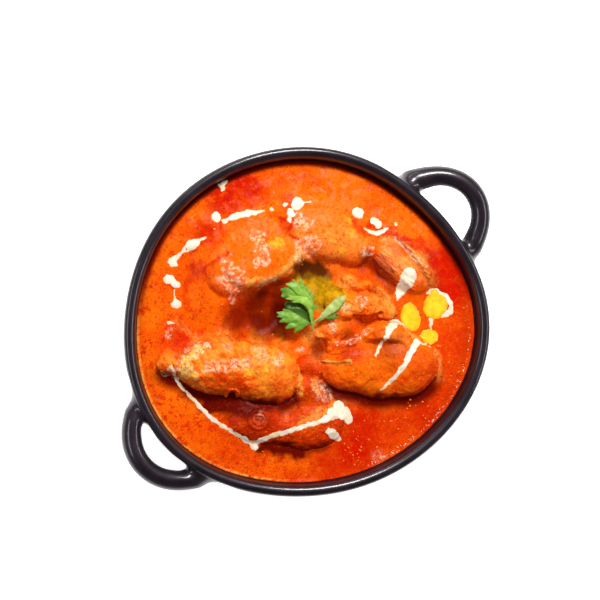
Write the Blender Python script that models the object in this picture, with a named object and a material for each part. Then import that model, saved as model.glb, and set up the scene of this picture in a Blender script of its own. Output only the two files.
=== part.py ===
"""Butter chicken curry in a two-handled stoneware serving bowl.

Everything is in metres, +Z up, standing on Z = 0. +X runs from one handle to the other.
The bowl is thrown by hand, so its round outline has three slow waves in it. The gravy is one
solid up to its level, cut round seven pieces of chicken that stand out of it, and a sprig of
coriander lies in the middle.
"""

import math

import bmesh
import bpy
from mathutils import Matrix, Vector

MM = 0.001
GAP = 0.3 * MM  # air between two pieces that touch
PRESS = 0.6 * MM  # how much larger a pocket is than the piece in it

# The bowl's middle, measured from the middle of the whole part, handles included.
BOWL_CENTRE = Vector((-1.2 * MM, -0.5 * MM, 0))

# Bowl
LIP_RADIUS = 85.5 * MM
RIM_HEIGHT = 53.0 * MM
GRAVY_LEVEL = 45.0 * MM
WAVE_START = 5.0 * MM  # below this the bowl is truly round
WAVE_FULL = 35.0 * MM
RING_STEPS = 44

# The outline's waves: how many round the bowl, their size against the lip's radius, the
# angle of one crest.
WAVES = ((2, 0.0315, 145.9), (3, 0.0198, 66.2), (5, 0.0058, 34.2))

# Radius and height of the outer wall from the foot to the crest of the rim, and of the inner
# wall from the crest down to the floor.
OUTER_WALL = (
    (41.0, 2.0),
    (42.0, 0.0),
    (45.5, 0.0),
    (46.5, 1.2),
    (47.2, 3.4),
    (54.0, 6.2),
    (62.0, 11.0),
    (70.0, 18.2),
    (77.0, 27.2),
    (82.0, 36.5),
    (84.3, 44.0),
    (85.2, 48.5),
    (85.5, 50.8),
    (84.8, 52.4),
    (82.9, 53.0),
)
INNER_WALL = (
    (81.0, 52.3),
    (80.1, 50.4),
    (79.1, 45.0),
    (77.2, 37.5),
    (72.8, 28.6),
    (65.5, 19.8),
    (55.5, 12.2),
    (44.0, 8.2),
    (30.0, 6.5),
)

# Handles: half an ellipse each, rising from the wall to its outer end.
HANDLE_REACH = {"east": 108.6 * MM, "west": 106.2 * MM}
HANDLE_HALF_WIDTH = 21.8 * MM
HANDLE_LINE_Y = -1.5 * MM
HANDLE_ROOT_X = 79.0 * MM
HANDLE_RADIUS = 4.6 * MM
HANDLE_ROOT_RADIUS = 6.3 * MM
HANDLE_ROOT_HEIGHT = 44.0 * MM
HANDLE_END_HEIGHT = 49.5 * MM
HANDLE_STEPS = 14
HANDLE_SIDES = 11

# Chicken: each piece is a few fused lobes. A lobe is its middle x, y, z from the bowl's
# middle, its half length, half width and half height, and the heading of its length.
LUMP_GRAIN = 4.5 * MM
LUMP_SOFTENING = 3
CHICKEN = {
    "chicken_front_left": (
        (-44.0, 10.3, 46.5, 23.5, 14.8, 10.5, -44),
        (-31.5, -5.0, 46.0, 20.5, 15.4, 10.5, -51),
        (-59.0, 25.0, 43.8, 10.5, 6.2, 5.8, -44),
    ),
    "chicken_front_right": (
        (8.5, -32.8, 46.0, 21.5, 13.5, 9.5, -34),
        (24.0, -45.0, 45.5, 19.0, 16.2, 10.2, -39),
        (26.5, -29.5, 46.0, 13.0, 7.5, 8.0, -29),
    ),
    "chicken_back_left": (
        (-3.5, 39.2, 46.0, 19.5, 13.0, 9.5, -27),
        (11.5, 30.5, 45.5, 13.0, 10.5, 8.5, -49),
        (-20.0, 36.5, 43.5, 11.5, 11.5, 7.5, -39),
    ),
    "chicken_back": (
        (33.5, 27.0, 45.5, 17.5, 9.5, 7.8, -64),
        (41.5, 11.5, 45.0, 12.0, 9.5, 7.8, -64),
        (29.0, 41.0, 45.0, 8.0, 8.0, 5.5, -39),
    ),
    "chicken_right": (
        (53.0, -9.0, 44.5, 16.0, 11.5, 8.3, -89),
        (62.0, -12.5, 44.5, 14.5, 6.5, 5.8, -94),
    ),
    "chicken_centre": (
        (21.5, -8.5, 44.5, 13.0, 10.5, 7.8, -59),
        (33.0, -14.5, 44.5, 11.5, 6.5, 7.0, -99),
    ),
    "chicken_front_centre": (
        (-45.8, -20.3, 42.0, 18.0, 12.5, 8.3, -54),
        (-26.3, -38.2, 42.0, 19.0, 12.0, 8.8, -24),
        (-19.0, -25.0, 43.0, 9.0, 7.5, 6.5, -39),
    ),
}

# Pieces that lie over another one: the lower piece is hollowed where the upper one presses.
LIES_UNDER = {
    "chicken_right": ("chicken_back",),
    "chicken_centre": ("chicken_front_right", "chicken_right"),
    "chicken_front_centre": ("chicken_front_left", "chicken_front_right"),
}

# Coriander: leaflets that spread from one joint. A leaflet is its heading, its length and
# half of the angle that it spreads over.
SPRIG_JOINT = Vector((1.5 * MM, -1.9 * MM, 52.4 * MM))
SPRIG_THICKNESS = 0.9 * MM
SPRIG_STEPS = 96
LEAFLETS = ((80, 23.5, 29), (138, 17.0, 33), (0, 20.5, 17))
LEAF_NOTCH = 0.22
STALK_RADIUS = 1.4 * MM


def clear_scene():
    """Remove whatever objects the file holds."""
    for obj in list(bpy.data.objects):
        bpy.data.objects.remove(obj, do_unlink=True)


def material(name, color, roughness):
    """A plain Principled finish."""
    made = bpy.data.materials.new(name)
    made.use_nodes = True
    shader = made.node_tree.nodes["Principled BSDF"]
    shader.inputs["Base Color"].default_value = (*color, 1)
    shader.inputs["Roughness"].default_value = roughness
    shader.inputs["Metallic"].default_value = 0
    made.diffuse_color = (*color, 1)
    return made


def wave(angle):
    """How far the outline stands out at this angle, as a share of the lip's radius."""
    return sum(size * math.cos(count * (angle - math.radians(crest))) for count, size, crest in WAVES)


def sway(height):
    """How much of the waves the bowl has at this height, from 0 to 1."""
    share = min(max((height - WAVE_START) / (WAVE_FULL - WAVE_START), 0), 1)
    return share * share * (3 - 2 * share)


def outline_point(radius, height, angle):
    """A point of the wavy ring with this mean radius."""
    reach = radius + LIP_RADIUS * sway(height) * wave(angle)
    return Vector((reach * math.cos(angle), reach * math.sin(angle), height))


def turned(name, profile):
    """A closed wavy solid from a profile of (radius, height), flat across both its ends."""
    bm = bmesh.new()
    rings = []
    for radius, height in profile:
        angles = [2 * math.pi * i / RING_STEPS for i in range(RING_STEPS)]
        rings.append([bm.verts.new(outline_point(radius, height, a)) for a in angles])
    for lower, upper in zip(rings, rings[1:]):
        for i in range(RING_STEPS):
            j = (i + 1) % RING_STEPS
            bm.faces.new((lower[i], lower[j], upper[j], upper[i]))
    bm.faces.new(rings[0])
    bm.faces.new(rings[-1])
    bmesh.ops.recalc_face_normals(bm, faces=bm.faces)
    return as_object(name, bm)


def as_object(name, bm):
    """Put a finished bmesh into the scene as a smooth shaded object."""
    mesh = bpy.data.meshes.new(name)
    bm.to_mesh(mesh)
    bm.free()
    mesh.shade_smooth()
    obj = bpy.data.objects.new(name, mesh)
    bpy.context.scene.collection.objects.link(obj)
    return obj


def in_metres(profile, inset=0.0, lift=0.0):
    """A profile of millimetres in metres, drawn in and lifted by a clearance."""
    return [(radius * MM - inset, height * MM + lift) for radius, height in profile]


def as_helper(obj):
    """Mark an object as a cutter, which is no part of the model."""
    obj.hide_render = True
    obj.display_type = "WIRE"
    return obj


def boolean(obj, other, operation):
    """Join or cut obj with another object."""
    cut = obj.modifiers.new(f"{operation.lower()}_{other.name}", "BOOLEAN")
    cut.operation = operation
    cut.object = other
    cut.solver = "EXACT"


def handle_path(reach):
    """Points and radii of a handle's middle line, from one root to the other."""
    depth = reach - HANDLE_RADIUS - HANDLE_ROOT_X
    steps = []
    for i in range(HANDLE_STEPS + 1):
        turn = math.pi * (i / HANDLE_STEPS - 0.5)
        out = math.cos(turn)
        point = Vector((HANDLE_ROOT_X + depth * out, HANDLE_HALF_WIDTH * math.sin(turn), 0))
        point.z = HANDLE_ROOT_HEIGHT + (HANDLE_END_HEIGHT - HANDLE_ROOT_HEIGHT) * out
        radius = HANDLE_RADIUS + (HANDLE_ROOT_RADIUS - HANDLE_RADIUS) * (1 - out) ** 3
        steps.append((point, radius))
    return steps


def handle(side, wall_core):
    """One loop handle. Its roots end inside the wall, at the wall's middle."""
    path = handle_path(HANDLE_REACH[side])
    bm = bmesh.new()
    rings = []
    for i, (point, radius) in enumerate(path):
        before = path[max(i - 1, 0)][0]
        after = path[min(i + 1, HANDLE_STEPS)][0]
        along = (after - before).normalized()
        across = along.cross(Vector((0, 0, 1))).normalized()
        up = across.cross(along)
        ring = []
        for k in range(HANDLE_SIDES):
            turn = 2 * math.pi * k / HANDLE_SIDES
            spot = point + radius * (math.cos(turn) * across + math.sin(turn) * up)
            ring.append(bm.verts.new(spot))
        rings.append(ring)
    for first, second in zip(rings, rings[1:]):
        for k in range(HANDLE_SIDES):
            j = (k + 1) % HANDLE_SIDES
            bm.faces.new((first[k], first[j], second[j], second[k]))
    bm.faces.new(rings[0])
    bm.faces.new(rings[-1])
    if side == "west":
        bmesh.ops.rotate(bm, verts=bm.verts, cent=(0, 0, 0), matrix=Matrix.Rotation(math.pi, 3, "Z"))
    bmesh.ops.translate(bm, verts=bm.verts, vec=(0, HANDLE_LINE_Y, 0))
    bmesh.ops.recalc_face_normals(bm, faces=bm.faces)
    obj = as_helper(as_object(f"handle_{side}", bm))
    boolean(obj, wall_core, "DIFFERENCE")
    return obj


def make_bowl():
    """The bowl: foot ring, wavy wall, rounded rim and both handles, in one body."""
    outer = in_metres(OUTER_WALL)
    inner = in_metres(INNER_WALL)
    bowl = turned("bowl", outer + inner)
    half_wall = 2.5 * MM
    core_profile = [(radius + half_wall, height) for radius, height in reversed(inner)]
    top = (core_profile[-1][0], RIM_HEIGHT + 20 * MM)
    wall_core = as_helper(turned("wall_core", core_profile + [top]))
    for side in HANDLE_REACH:
        boolean(bowl, handle(side, wall_core), "UNION")
    bowl.data.materials.append(material("bowl_glaze", (0.022, 0.014, 0.021), 0.22))
    return bowl


def fused_lobes(name, lobes):
    """One closed lump: ellipsoids laid into each other and fused."""
    bm = bmesh.new()
    for x, y, z, half_length, half_width, half_height, heading in lobes:
        place = Matrix.Translation(Vector((x, y, z)) * MM)
        turn = Matrix.Rotation(math.radians(heading), 4, "Z")
        size = Matrix.Diagonal((half_length * MM, half_width * MM, half_height * MM, 1))
        bmesh.ops.create_icosphere(bm, subdivisions=3, radius=1, matrix=place @ turn @ size)
    obj = as_object(name, bm)
    fuse = obj.modifiers.new("fuse", "REMESH")
    fuse.mode = "VOXEL"
    fuse.voxel_size = LUMP_GRAIN
    fuse.use_smooth_shade = True
    soften = obj.modifiers.new("soften", "SMOOTH")
    soften.iterations = LUMP_SOFTENING
    return obj


def pocket_of(name):
    """The cutter for the hollow that a lump of chicken presses into what is round it."""
    cutter = as_helper(fused_lobes(f"pocket_{name}", CHICKEN[name]))
    grow = cutter.modifiers.new("grow", "DISPLACE")
    grow.strength = PRESS
    grow.mid_level = 0
    return cutter


def make_chicken(pockets):
    """The pieces of chicken, the lower ones hollowed where an upper one presses."""
    finish = material("chicken", (0.78, 0.2, 0.025), 0.35)
    pieces = []
    for name, lobes in CHICKEN.items():
        piece = fused_lobes(name, lobes)
        for upper in LIES_UNDER.get(name, ()):
            boolean(piece, pockets[upper], "DIFFERENCE")
        piece.data.materials.append(finish)
        pieces.append(piece)
    return pieces


def make_gravy(pockets):
    """The gravy, up to its level, with a pocket round each piece of chicken."""
    below = [point for point in INNER_WALL if point[1] * MM <= GRAVY_LEVEL]
    profile = in_metres(reversed(below), inset=GAP, lift=GAP)
    surface_radius = below[0][0] * MM - GAP
    profile[-1] = (surface_radius, GRAVY_LEVEL)
    gravy = turned("curry_gravy", profile)
    hollow = bpy.data.collections.new("pockets")
    for cutter in pockets.values():
        hollow.objects.link(cutter)
    cut = gravy.modifiers.new("pockets", "BOOLEAN")
    cut.operation = "DIFFERENCE"
    cut.operand_type = "COLLECTION"
    cut.collection = hollow
    cut.solver = "EXACT"
    cut.use_self = True
    gravy.data.materials.append(material("curry_gravy", (0.88, 0.12, 0.006), 0.2))
    return gravy


def sprig_reach(angle):
    """The sprig's outline: how far its leaf stands from the joint at this angle."""
    reach = STALK_RADIUS
    for heading, length, spread in LEAFLETS:
        off = (math.degrees(angle) - heading + 180) % 360 - 180
        share = abs(off) / spread
        if share < 1:
            lobes = 1 - LEAF_NOTCH * (1 - math.cos(math.pi * share * 5)) / 2
            reach = max(reach, length * MM * lobes * (1 - share**3))
    return reach


def make_sprig():
    """The coriander sprig: three notched leaflets in one thin plate."""
    bm = bmesh.new()
    outline = []
    for i in range(SPRIG_STEPS):
        angle = 2 * math.pi * i / SPRIG_STEPS
        reach = sprig_reach(angle)
        spot = SPRIG_JOINT + Vector((reach * math.cos(angle), reach * math.sin(angle), 0))
        outline.append(bm.verts.new(spot))
    middle = bm.verts.new(SPRIG_JOINT)
    for i, vertex in enumerate(outline):
        bm.faces.new((middle, vertex, outline[(i + 1) % SPRIG_STEPS]))
    plate = bmesh.ops.extrude_face_region(bm, geom=bm.faces[:])
    raised = [item for item in plate["geom"] if isinstance(item, bmesh.types.BMVert)]
    bmesh.ops.translate(bm, verts=raised, vec=(0, 0, SPRIG_THICKNESS))
    bmesh.ops.recalc_face_normals(bm, faces=bm.faces)
    sprig = as_object("coriander_sprig", bm)
    sprig.data.set_sharp_from_angle(angle=math.radians(40))
    sprig.data.materials.append(material("coriander", (0.13, 0.33, 0.02), 0.45))
    return sprig


def main():
    """Build every piece round the bowl's middle."""
    clear_scene()
    centre = bpy.data.objects.new("bowl_centre", None)
    centre.location = BOWL_CENTRE
    bpy.context.scene.collection.objects.link(centre)
    pockets = {name: pocket_of(name) for name in CHICKEN}
    make_bowl()
    make_gravy(pockets)
    make_chicken(pockets)
    make_sprig()
    for obj in bpy.context.scene.objects:
        if obj is not centre:
            obj.parent = centre


main()
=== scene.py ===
"""Butter chicken curry in its two-handled stoneware bowl.

Each class models one sub-assembly of the dish and dresses it: the glazed bowl, the gravy, the
pieces of chicken, the cream and butter on top, the coriander and the bits that float in the
gravy. Sizes are in millimetres from the middle of the bowl's foot, and metres in the finished
meshes.
"""

import logging
import math
import random
from dataclasses import dataclass, field
from enum import Enum

import bpy
import numpy as np
from mathutils import Matrix, Vector, noise
from mathutils.bvhtree import BVHTree


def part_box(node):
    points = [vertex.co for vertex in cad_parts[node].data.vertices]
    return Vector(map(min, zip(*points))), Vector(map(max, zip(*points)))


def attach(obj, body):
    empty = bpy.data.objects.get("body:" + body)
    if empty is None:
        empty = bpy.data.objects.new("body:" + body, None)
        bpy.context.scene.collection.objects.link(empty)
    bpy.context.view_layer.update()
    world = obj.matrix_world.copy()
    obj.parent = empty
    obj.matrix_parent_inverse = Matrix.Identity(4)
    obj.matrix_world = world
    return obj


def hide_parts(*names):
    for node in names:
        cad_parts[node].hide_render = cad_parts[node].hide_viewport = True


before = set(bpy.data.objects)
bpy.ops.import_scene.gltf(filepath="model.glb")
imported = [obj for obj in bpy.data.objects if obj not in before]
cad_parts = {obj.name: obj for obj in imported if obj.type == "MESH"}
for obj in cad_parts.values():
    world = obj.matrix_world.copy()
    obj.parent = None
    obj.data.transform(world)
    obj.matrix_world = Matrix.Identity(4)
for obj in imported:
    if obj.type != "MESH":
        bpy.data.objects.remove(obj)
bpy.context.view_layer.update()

MM = 0.001
LOG = logging.getLogger("butter_chicken")

Colour = tuple[float, float, float]
Place = tuple[float, float]


def middle_of(node: str) -> Vector:
    """The middle of a node's box, on the floor."""
    low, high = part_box(node)
    return Vector(((low.x + high.x) / 2, (low.y + high.y) / 2, 0))


# The east handle reaches further than the west one, so the round bowl stands off the middle.
BOWL_CENTRE = middle_of("bowl") + Vector((-1.2 * MM, -0.5 * MM, 0))

LIP_RADIUS = 85.5
GRAVY_LEVEL = 45.0
# The inner wall's radius at the level of the gravy, before the waves.
GRAVY_RADIUS = 79.1
# Each wave of the outline: how many crests, its height as a share of the lip, a crest's heading.
WAVES = ((2, 0.0315, 145.9), (3, 0.0198, 66.2), (5, 0.0058, 34.2))
WAVE_START = 5.0
WAVE_FULL = 35.0

# The cook's far side: light comes from there and the gravy is heaped against the chicken there.
FAR_HEADING = 51.0


class Slot(Enum):
    """The record's material slots."""

    GLAZE = "bowl_glaze"
    GRAVY = "curry_gravy"
    CHICKEN = "chicken"
    CORIANDER = "coriander"
    CREAM = "cream"
    BUTTER = "butter"


# ---------------------------------------------------------------------------------------------
# Bench work: the small moves that every piece is modelled with
# ---------------------------------------------------------------------------------------------


def let_go() -> None:
    """Leave edit mode and let go of every object."""
    if bpy.context.mode != "OBJECT":
        bpy.ops.object.mode_set(mode="OBJECT")
    bpy.ops.object.select_all(action="DESELECT")


def take(*objects: bpy.types.Object) -> bpy.types.Object:
    """Select these objects alone.

    Args:
        objects: what to take, the active one first.

    Returns:
        The active object.
    """
    let_go()
    for obj in objects:
        obj.select_set(True)
    bpy.context.view_layer.objects.active = objects[0]
    return objects[0]


def fuse(objects: list[bpy.types.Object], name: str) -> bpy.types.Object:
    """Join several blanks into one object with its place in its mesh.

    Args:
        objects: the blanks.
        name: the joined object's name.

    Returns:
        The joined object.
    """
    obj = take(*objects)
    if len(objects) > 1:
        bpy.ops.object.join()
    bpy.ops.object.transform_apply(location=True, rotation=True, scale=True)
    obj.name = name
    obj.data.name = name
    return obj


def face_outward(obj: bpy.types.Object) -> None:
    """Turn every face of a closed piece outwards.

    Args:
        obj: the piece.
    """
    take(obj)
    bpy.ops.object.mode_set(mode="EDIT")
    bpy.ops.mesh.select_all(action="SELECT")
    bpy.ops.mesh.normals_make_consistent(inside=False)
    bpy.ops.object.mode_set(mode="OBJECT")


def shape(obj: bpy.types.Object, kind: str, **settings: object) -> None:
    """Run one modifier over a piece and apply it.

    Args:
        obj: the piece.
        kind: the modifier's type.
        settings: the modifier's own settings.
    """
    take(obj)
    tool = obj.modifiers.new(kind.lower(), kind)
    for key, value in settings.items():
        setattr(tool, key, value)
    bpy.ops.object.modifier_apply(modifier=tool.name)


def roughen(
    obj: bpy.types.Object,
    grain: float,
    depth: float,
    kind: str = "CLOUDS",
    along: tuple[float, float] | None = None,
    group: str = "",
) -> None:
    """Push a surface in and out by a solid pattern.

    Args:
        obj: the piece.
        grain: the pattern's grain in millimetres.
        depth: the height from its lowest to its highest point in millimetres.
        kind: the pattern, a texture type.
        along: a heading in degrees and how many times longer the grain is along it.
        group: a vertex group that limits where it acts.
    """
    texture = bpy.data.textures.new("relief", kind)
    texture.noise_scale = grain * MM
    if kind == "CLOUDS":
        texture.noise_depth = 2
    settings = {"texture": texture, "strength": depth * MM, "mid_level": 0.5, "vertex_group": group}
    guide = None
    if along is None:
        settings["texture_coords"] = "LOCAL"
    else:
        heading, stretch = along
        let_go()
        bpy.ops.object.empty_add(rotation=(0, 0, math.radians(heading)))
        guide = bpy.context.object
        guide.scale = (stretch, 1, 1)
        bpy.context.view_layer.update()
        settings["texture_coords"] = "OBJECT"
        settings["texture_coords_object"] = guide
    shape(obj, "DISPLACE", **settings)
    if guide:
        bpy.data.objects.remove(guide)
    bpy.data.textures.remove(texture)


def points_of(obj: bpy.types.Object) -> np.ndarray:
    """Read a mesh's vertices.

    Args:
        obj: the piece.

    Returns:
        Their places in millimetres, one row each.
    """
    flat = np.empty(len(obj.data.vertices) * 3, np.float32)
    obj.data.vertices.foreach_get("co", flat)
    return flat.reshape(-1, 3).astype(float) / MM


def set_points(obj: bpy.types.Object, points: np.ndarray) -> None:
    """Move a mesh's vertices to these millimetres."""
    obj.data.vertices.foreach_set("co", (points * MM).astype(np.float32).ravel())
    obj.data.update()


def normals_of(obj: bpy.types.Object) -> np.ndarray:
    """Read which way a mesh's vertices face.

    Args:
        obj: the piece.

    Returns:
        Their normals, one row each.
    """
    flat = np.empty(len(obj.data.vertices) * 3, np.float32)
    obj.data.vertex_normals.foreach_get("vector", flat)
    return flat.reshape(-1, 3).astype(float)


def paint(obj: bpy.types.Object, name: str, values: np.ndarray) -> None:
    """Store a share from 0 to 1 on every vertex.

    Args:
        obj: the piece.
        name: the attribute's name.
        values: one number for each vertex.
    """
    layer = obj.data.attributes.new(name, "FLOAT", "POINT")
    layer.data.foreach_set("value", np.clip(values, 0, 1).astype(np.float32))


def group_of(obj: bpy.types.Object, name: str, values: np.ndarray) -> str:
    """Store weights in a vertex group.

    Args:
        obj: the piece.
        name: the group's name.
        values: one weight for each vertex.

    Returns:
        The group's name.
    """
    group = obj.vertex_groups.new(name=name)
    steps = np.round(np.clip(values, 0, 1) * 20).astype(int)
    for step in range(1, 21):
        chosen = np.nonzero(steps == step)[0].tolist()
        if chosen:
            group.add(chosen, step / 20, "REPLACE")
    return name


def smooth_step(values: np.ndarray) -> np.ndarray:
    """Ease shares in and out between 0 and 1."""
    share = np.clip(values, 0, 1)
    return share * share * (3 - 2 * share)


def cloudy(points: np.ndarray, grain: float, seed: float = 0.0, detail: int = 3) -> np.ndarray:
    """Soft noise from -1 to 1 over the points.

    Args:
        points: places in millimetres.
        grain: the size of the largest lumps.
        seed: shifts the pattern.
        detail: how many finer layers it has.

    Returns:
        One number for each point.
    """
    scaled = points / grain + seed
    return np.array([noise.fractal(Vector(p), 0.7, 2.0, detail) for p in scaled])


def serve(obj: bpy.types.Object, finish: bpy.types.Material, slot: Slot, *nodes: str) -> None:
    """Put a finished piece in its place in the dish.

    Args:
        obj: the piece, modelled round the bowl's middle.
        finish: its material.
        slot: the record's material slot it belongs to; not used.
        nodes: the nodes it stands for.
    """
    obj.vertex_groups.clear()
    obj.data.transform(Matrix.Translation(BOWL_CENTRE))
    obj.data.materials.clear()
    obj.data.materials.append(finish)
    take(obj)
    bpy.ops.object.shade_smooth()
    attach(obj, "root")
    if nodes:
        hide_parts(*nodes)
    let_go()
    LOG.info("%s: %d faces", obj.name, len(obj.data.polygons))


# ---------------------------------------------------------------------------------------------
# Finishes
# ---------------------------------------------------------------------------------------------


# The Mix node has a pair of inputs and an output for each kind of data. These are the colours'.
MIX_FIRST = 6
MIX_SECOND = 7
MIX_RESULT = 2


class Bench:
    """Lays out the nodes of one finish."""

    def __init__(self, name: str) -> None:
        """Start a finish with a bare shader.

        Args:
            name: the material's name.
        """
        self.material = bpy.data.materials.new(name)
        self.material.use_nodes = True
        self.tree = self.material.node_tree
        self.shader = self.tree.nodes["Principled BSDF"]
        self.place = self.tree.nodes.new("ShaderNodeTexCoord").outputs["Object"]

    def node(self, kind: str, **settings: object) -> bpy.types.Node:
        """Add a node.

        Args:
            kind: the node's type.
            settings: its own settings.

        Returns:
            The node.
        """
        made = self.tree.nodes.new(kind)
        for key, value in settings.items():
            setattr(made, key, value)
        return made

    def feed(self, target: bpy.types.NodeSocket, value: object) -> None:
        """Wire a socket to another, or set it.

        Args:
            target: the socket that is fed.
            value: another socket, a number or a colour.
        """
        if isinstance(value, bpy.types.NodeSocket):
            self.tree.links.new(value, target)
        elif isinstance(value, tuple) and len(value) == 3 and target.type == "RGBA":
            target.default_value = (*value, 1)
        else:
            target.default_value = value

    def stretched(self, heading: float, stretch: float) -> bpy.types.NodeSocket:
        """Draw the patterns that read this place out along a heading.

        Args:
            heading: the way in degrees.
            stretch: how many times longer they become.

        Returns:
            The place in the piece.
        """
        turned = self.node("ShaderNodeMapping", vector_type="TEXTURE")
        turned.inputs["Rotation"].default_value = (0, 0, math.radians(heading))
        turned.inputs["Scale"].default_value = (stretch, 1, 1)
        self.feed(turned.inputs["Vector"], self.place)
        return turned.outputs["Vector"]

    def noise(
        self,
        grain: float,
        detail: float = 3.0,
        roughness: float = 0.55,
        distortion: float = 0.0,
        at: bpy.types.NodeSocket | None = None,
    ) -> bpy.types.NodeSocket:
        """A cloudy pattern.

        Args:
            grain: its grain in millimetres.
            detail: how many finer layers it has.
            roughness: how strong the finer layers are.
            distortion: how far it is stirred.
            at: the place it reads, the piece's own if left out.

        Returns:
            A share from 0 to 1.
        """
        made = self.node("ShaderNodeTexNoise")
        self.feed(made.inputs["Vector"], at or self.place)
        made.inputs["Scale"].default_value = 1 / (grain * MM)
        made.inputs["Detail"].default_value = detail
        made.inputs["Roughness"].default_value = roughness
        made.inputs["Distortion"].default_value = distortion
        return made.outputs[0]

    def cells(self, grain: float) -> bpy.types.NodeSocket:
        """The distance from the nearest of many scattered grains.

        Args:
            grain: how far apart they are in millimetres.

        Returns:
            The distance in grains.
        """
        made = self.node("ShaderNodeTexVoronoi")
        self.feed(made.inputs["Vector"], self.place)
        made.inputs["Scale"].default_value = 1 / (grain * MM)
        return made.outputs["Distance"]

    def ramp(self, source: bpy.types.NodeSocket, low: float, high: float) -> bpy.types.NodeSocket:
        """Turn a number into a share that eases in and out.

        Args:
            source: the number.
            low: where the share is 0.
            high: where the share is 1.

        Returns:
            The share.
        """
        made = self.node("ShaderNodeMapRange", interpolation_type="SMOOTHSTEP")
        self.feed(made.inputs["Value"], source)
        made.inputs["From Min"].default_value = low
        made.inputs["From Max"].default_value = high
        return made.outputs["Result"]

    def span(self, source: bpy.types.NodeSocket, first: float, last: float) -> bpy.types.NodeSocket:
        """Spread a share over some numbers.

        Args:
            source: the share.
            first: the number at 0.
            last: the number at 1.

        Returns:
            The number.
        """
        made = self.node("ShaderNodeMapRange")
        self.feed(made.inputs["Value"], source)
        made.inputs["To Min"].default_value = first
        made.inputs["To Max"].default_value = last
        return made.outputs["Result"]

    def calc(self, operation: str, first: object, second: object) -> bpy.types.NodeSocket:
        """Work out one sum.

        Args:
            operation: the sum, as Blender's Math node names it.
            first: a number or a socket.
            second: a number or a socket.

        Returns:
            The result, kept between 0 and 1.
        """
        made = self.node("ShaderNodeMath", operation=operation, use_clamp=True)
        self.feed(made.inputs[0], first)
        self.feed(made.inputs[1], second)
        return made.outputs[0]

    def times(self, first: object, second: object) -> bpy.types.NodeSocket:
        """The product of two shares, each a number or a socket."""
        return self.calc("MULTIPLY", first, second)

    def mix(self, share: object, first: object, second: object) -> bpy.types.NodeSocket:
        """Blend two colours.

        Args:
            share: how much there is of the second.
            first: a colour or a socket.
            second: a colour or a socket.

        Returns:
            The blended colour.
        """
        made = self.node("ShaderNodeMix", data_type="RGBA")
        self.feed(made.inputs[0], share)
        self.feed(made.inputs[MIX_FIRST], first)
        self.feed(made.inputs[MIX_SECOND], second)
        return made.outputs[MIX_RESULT]

    def painted(self, name: str) -> bpy.types.NodeSocket:
        """A share that is stored on the piece."""
        return self.node("ShaderNodeAttribute", attribute_name=name).outputs["Fac"]

    def relief(
        self,
        height: bpy.types.NodeSocket,
        depth: float,
        over: bpy.types.NodeSocket | None = None,
    ) -> bpy.types.NodeSocket:
        """Lay a bump.

        Args:
            height: the pattern of its height.
            depth: how deep it is in millimetres.
            over: the bump that it lies on.

        Returns:
            The normal.
        """
        made = self.node("ShaderNodeBump")
        made.inputs["Distance"].default_value = depth * MM
        self.feed(made.inputs["Height"], height)
        if over is not None:
            self.feed(made.inputs["Normal"], over)
        return made.outputs["Normal"]

    def done(self, **sockets: object) -> bpy.types.Material:
        """Set the shader's sockets, whose names are given with _ for a space.

        Args:
            sockets: a number, colour or socket for each.

        Returns:
            The finished material.
        """
        for key, value in sockets.items():
            self.feed(self.shader.inputs[key.replace("_", " ")], value)
        return self.material


@dataclass(frozen=True)
class StonewareGlaze:
    """Near-black glaze with a plum tint, mottled, and bare clay on the foot."""

    body: Colour = (0.0085, 0.0048, 0.0075)
    cloud: Colour = (0.0165, 0.0098, 0.0145)
    clay: Colour = (0.24, 0.15, 0.1)
    roughness: tuple[float, float] = (0.36, 0.5)

    def make(self) -> bpy.types.Material:
        """Lay out the finish.

        Returns:
            The material.
        """
        bench = Bench("stoneware_glaze")
        mottled = bench.noise(9, 4)
        height = bench.node("ShaderNodeSeparateXYZ")
        bench.feed(height.inputs[0], bench.place)
        wobble = bench.times(bench.noise(6, 2), 0.0008)
        glazed = bench.ramp(bench.calc("ADD", height.outputs["Z"], wobble), 0.0008, 0.0016)
        colour = bench.mix(bench.ramp(mottled, 0.35, 0.7), self.body, self.cloud)
        outside = bench.calc("SUBTRACT", 1.0, bench.painted("inner"))
        pin_holes = bench.ramp(bench.cells(3.2), 0.03, 0.07)
        fine, thrown = bench.noise(1.4, 2), bench.relief(bench.noise(7, 1), 0.12)
        sheen = bench.calc("ADD", bench.times(mottled, 0.6), 0.1)
        return bench.done(
            Base_Color=bench.mix(glazed, self.clay, colour),
            Roughness=bench.span(sheen, *self.roughness),
            Normal=bench.relief(pin_holes, 0.03, bench.relief(fine, 0.035, thrown)),
            IOR=1.42,
            Specular_IOR_Level=bench.span(outside, 0.1, 0.4),
            Coat_Weight=bench.times(outside, 0.65),
            Coat_Roughness=0.16,
            Coat_IOR=1.5,
            Specular_Tint=(1.0, 0.9, 1.0, 1.0),
        )


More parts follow.
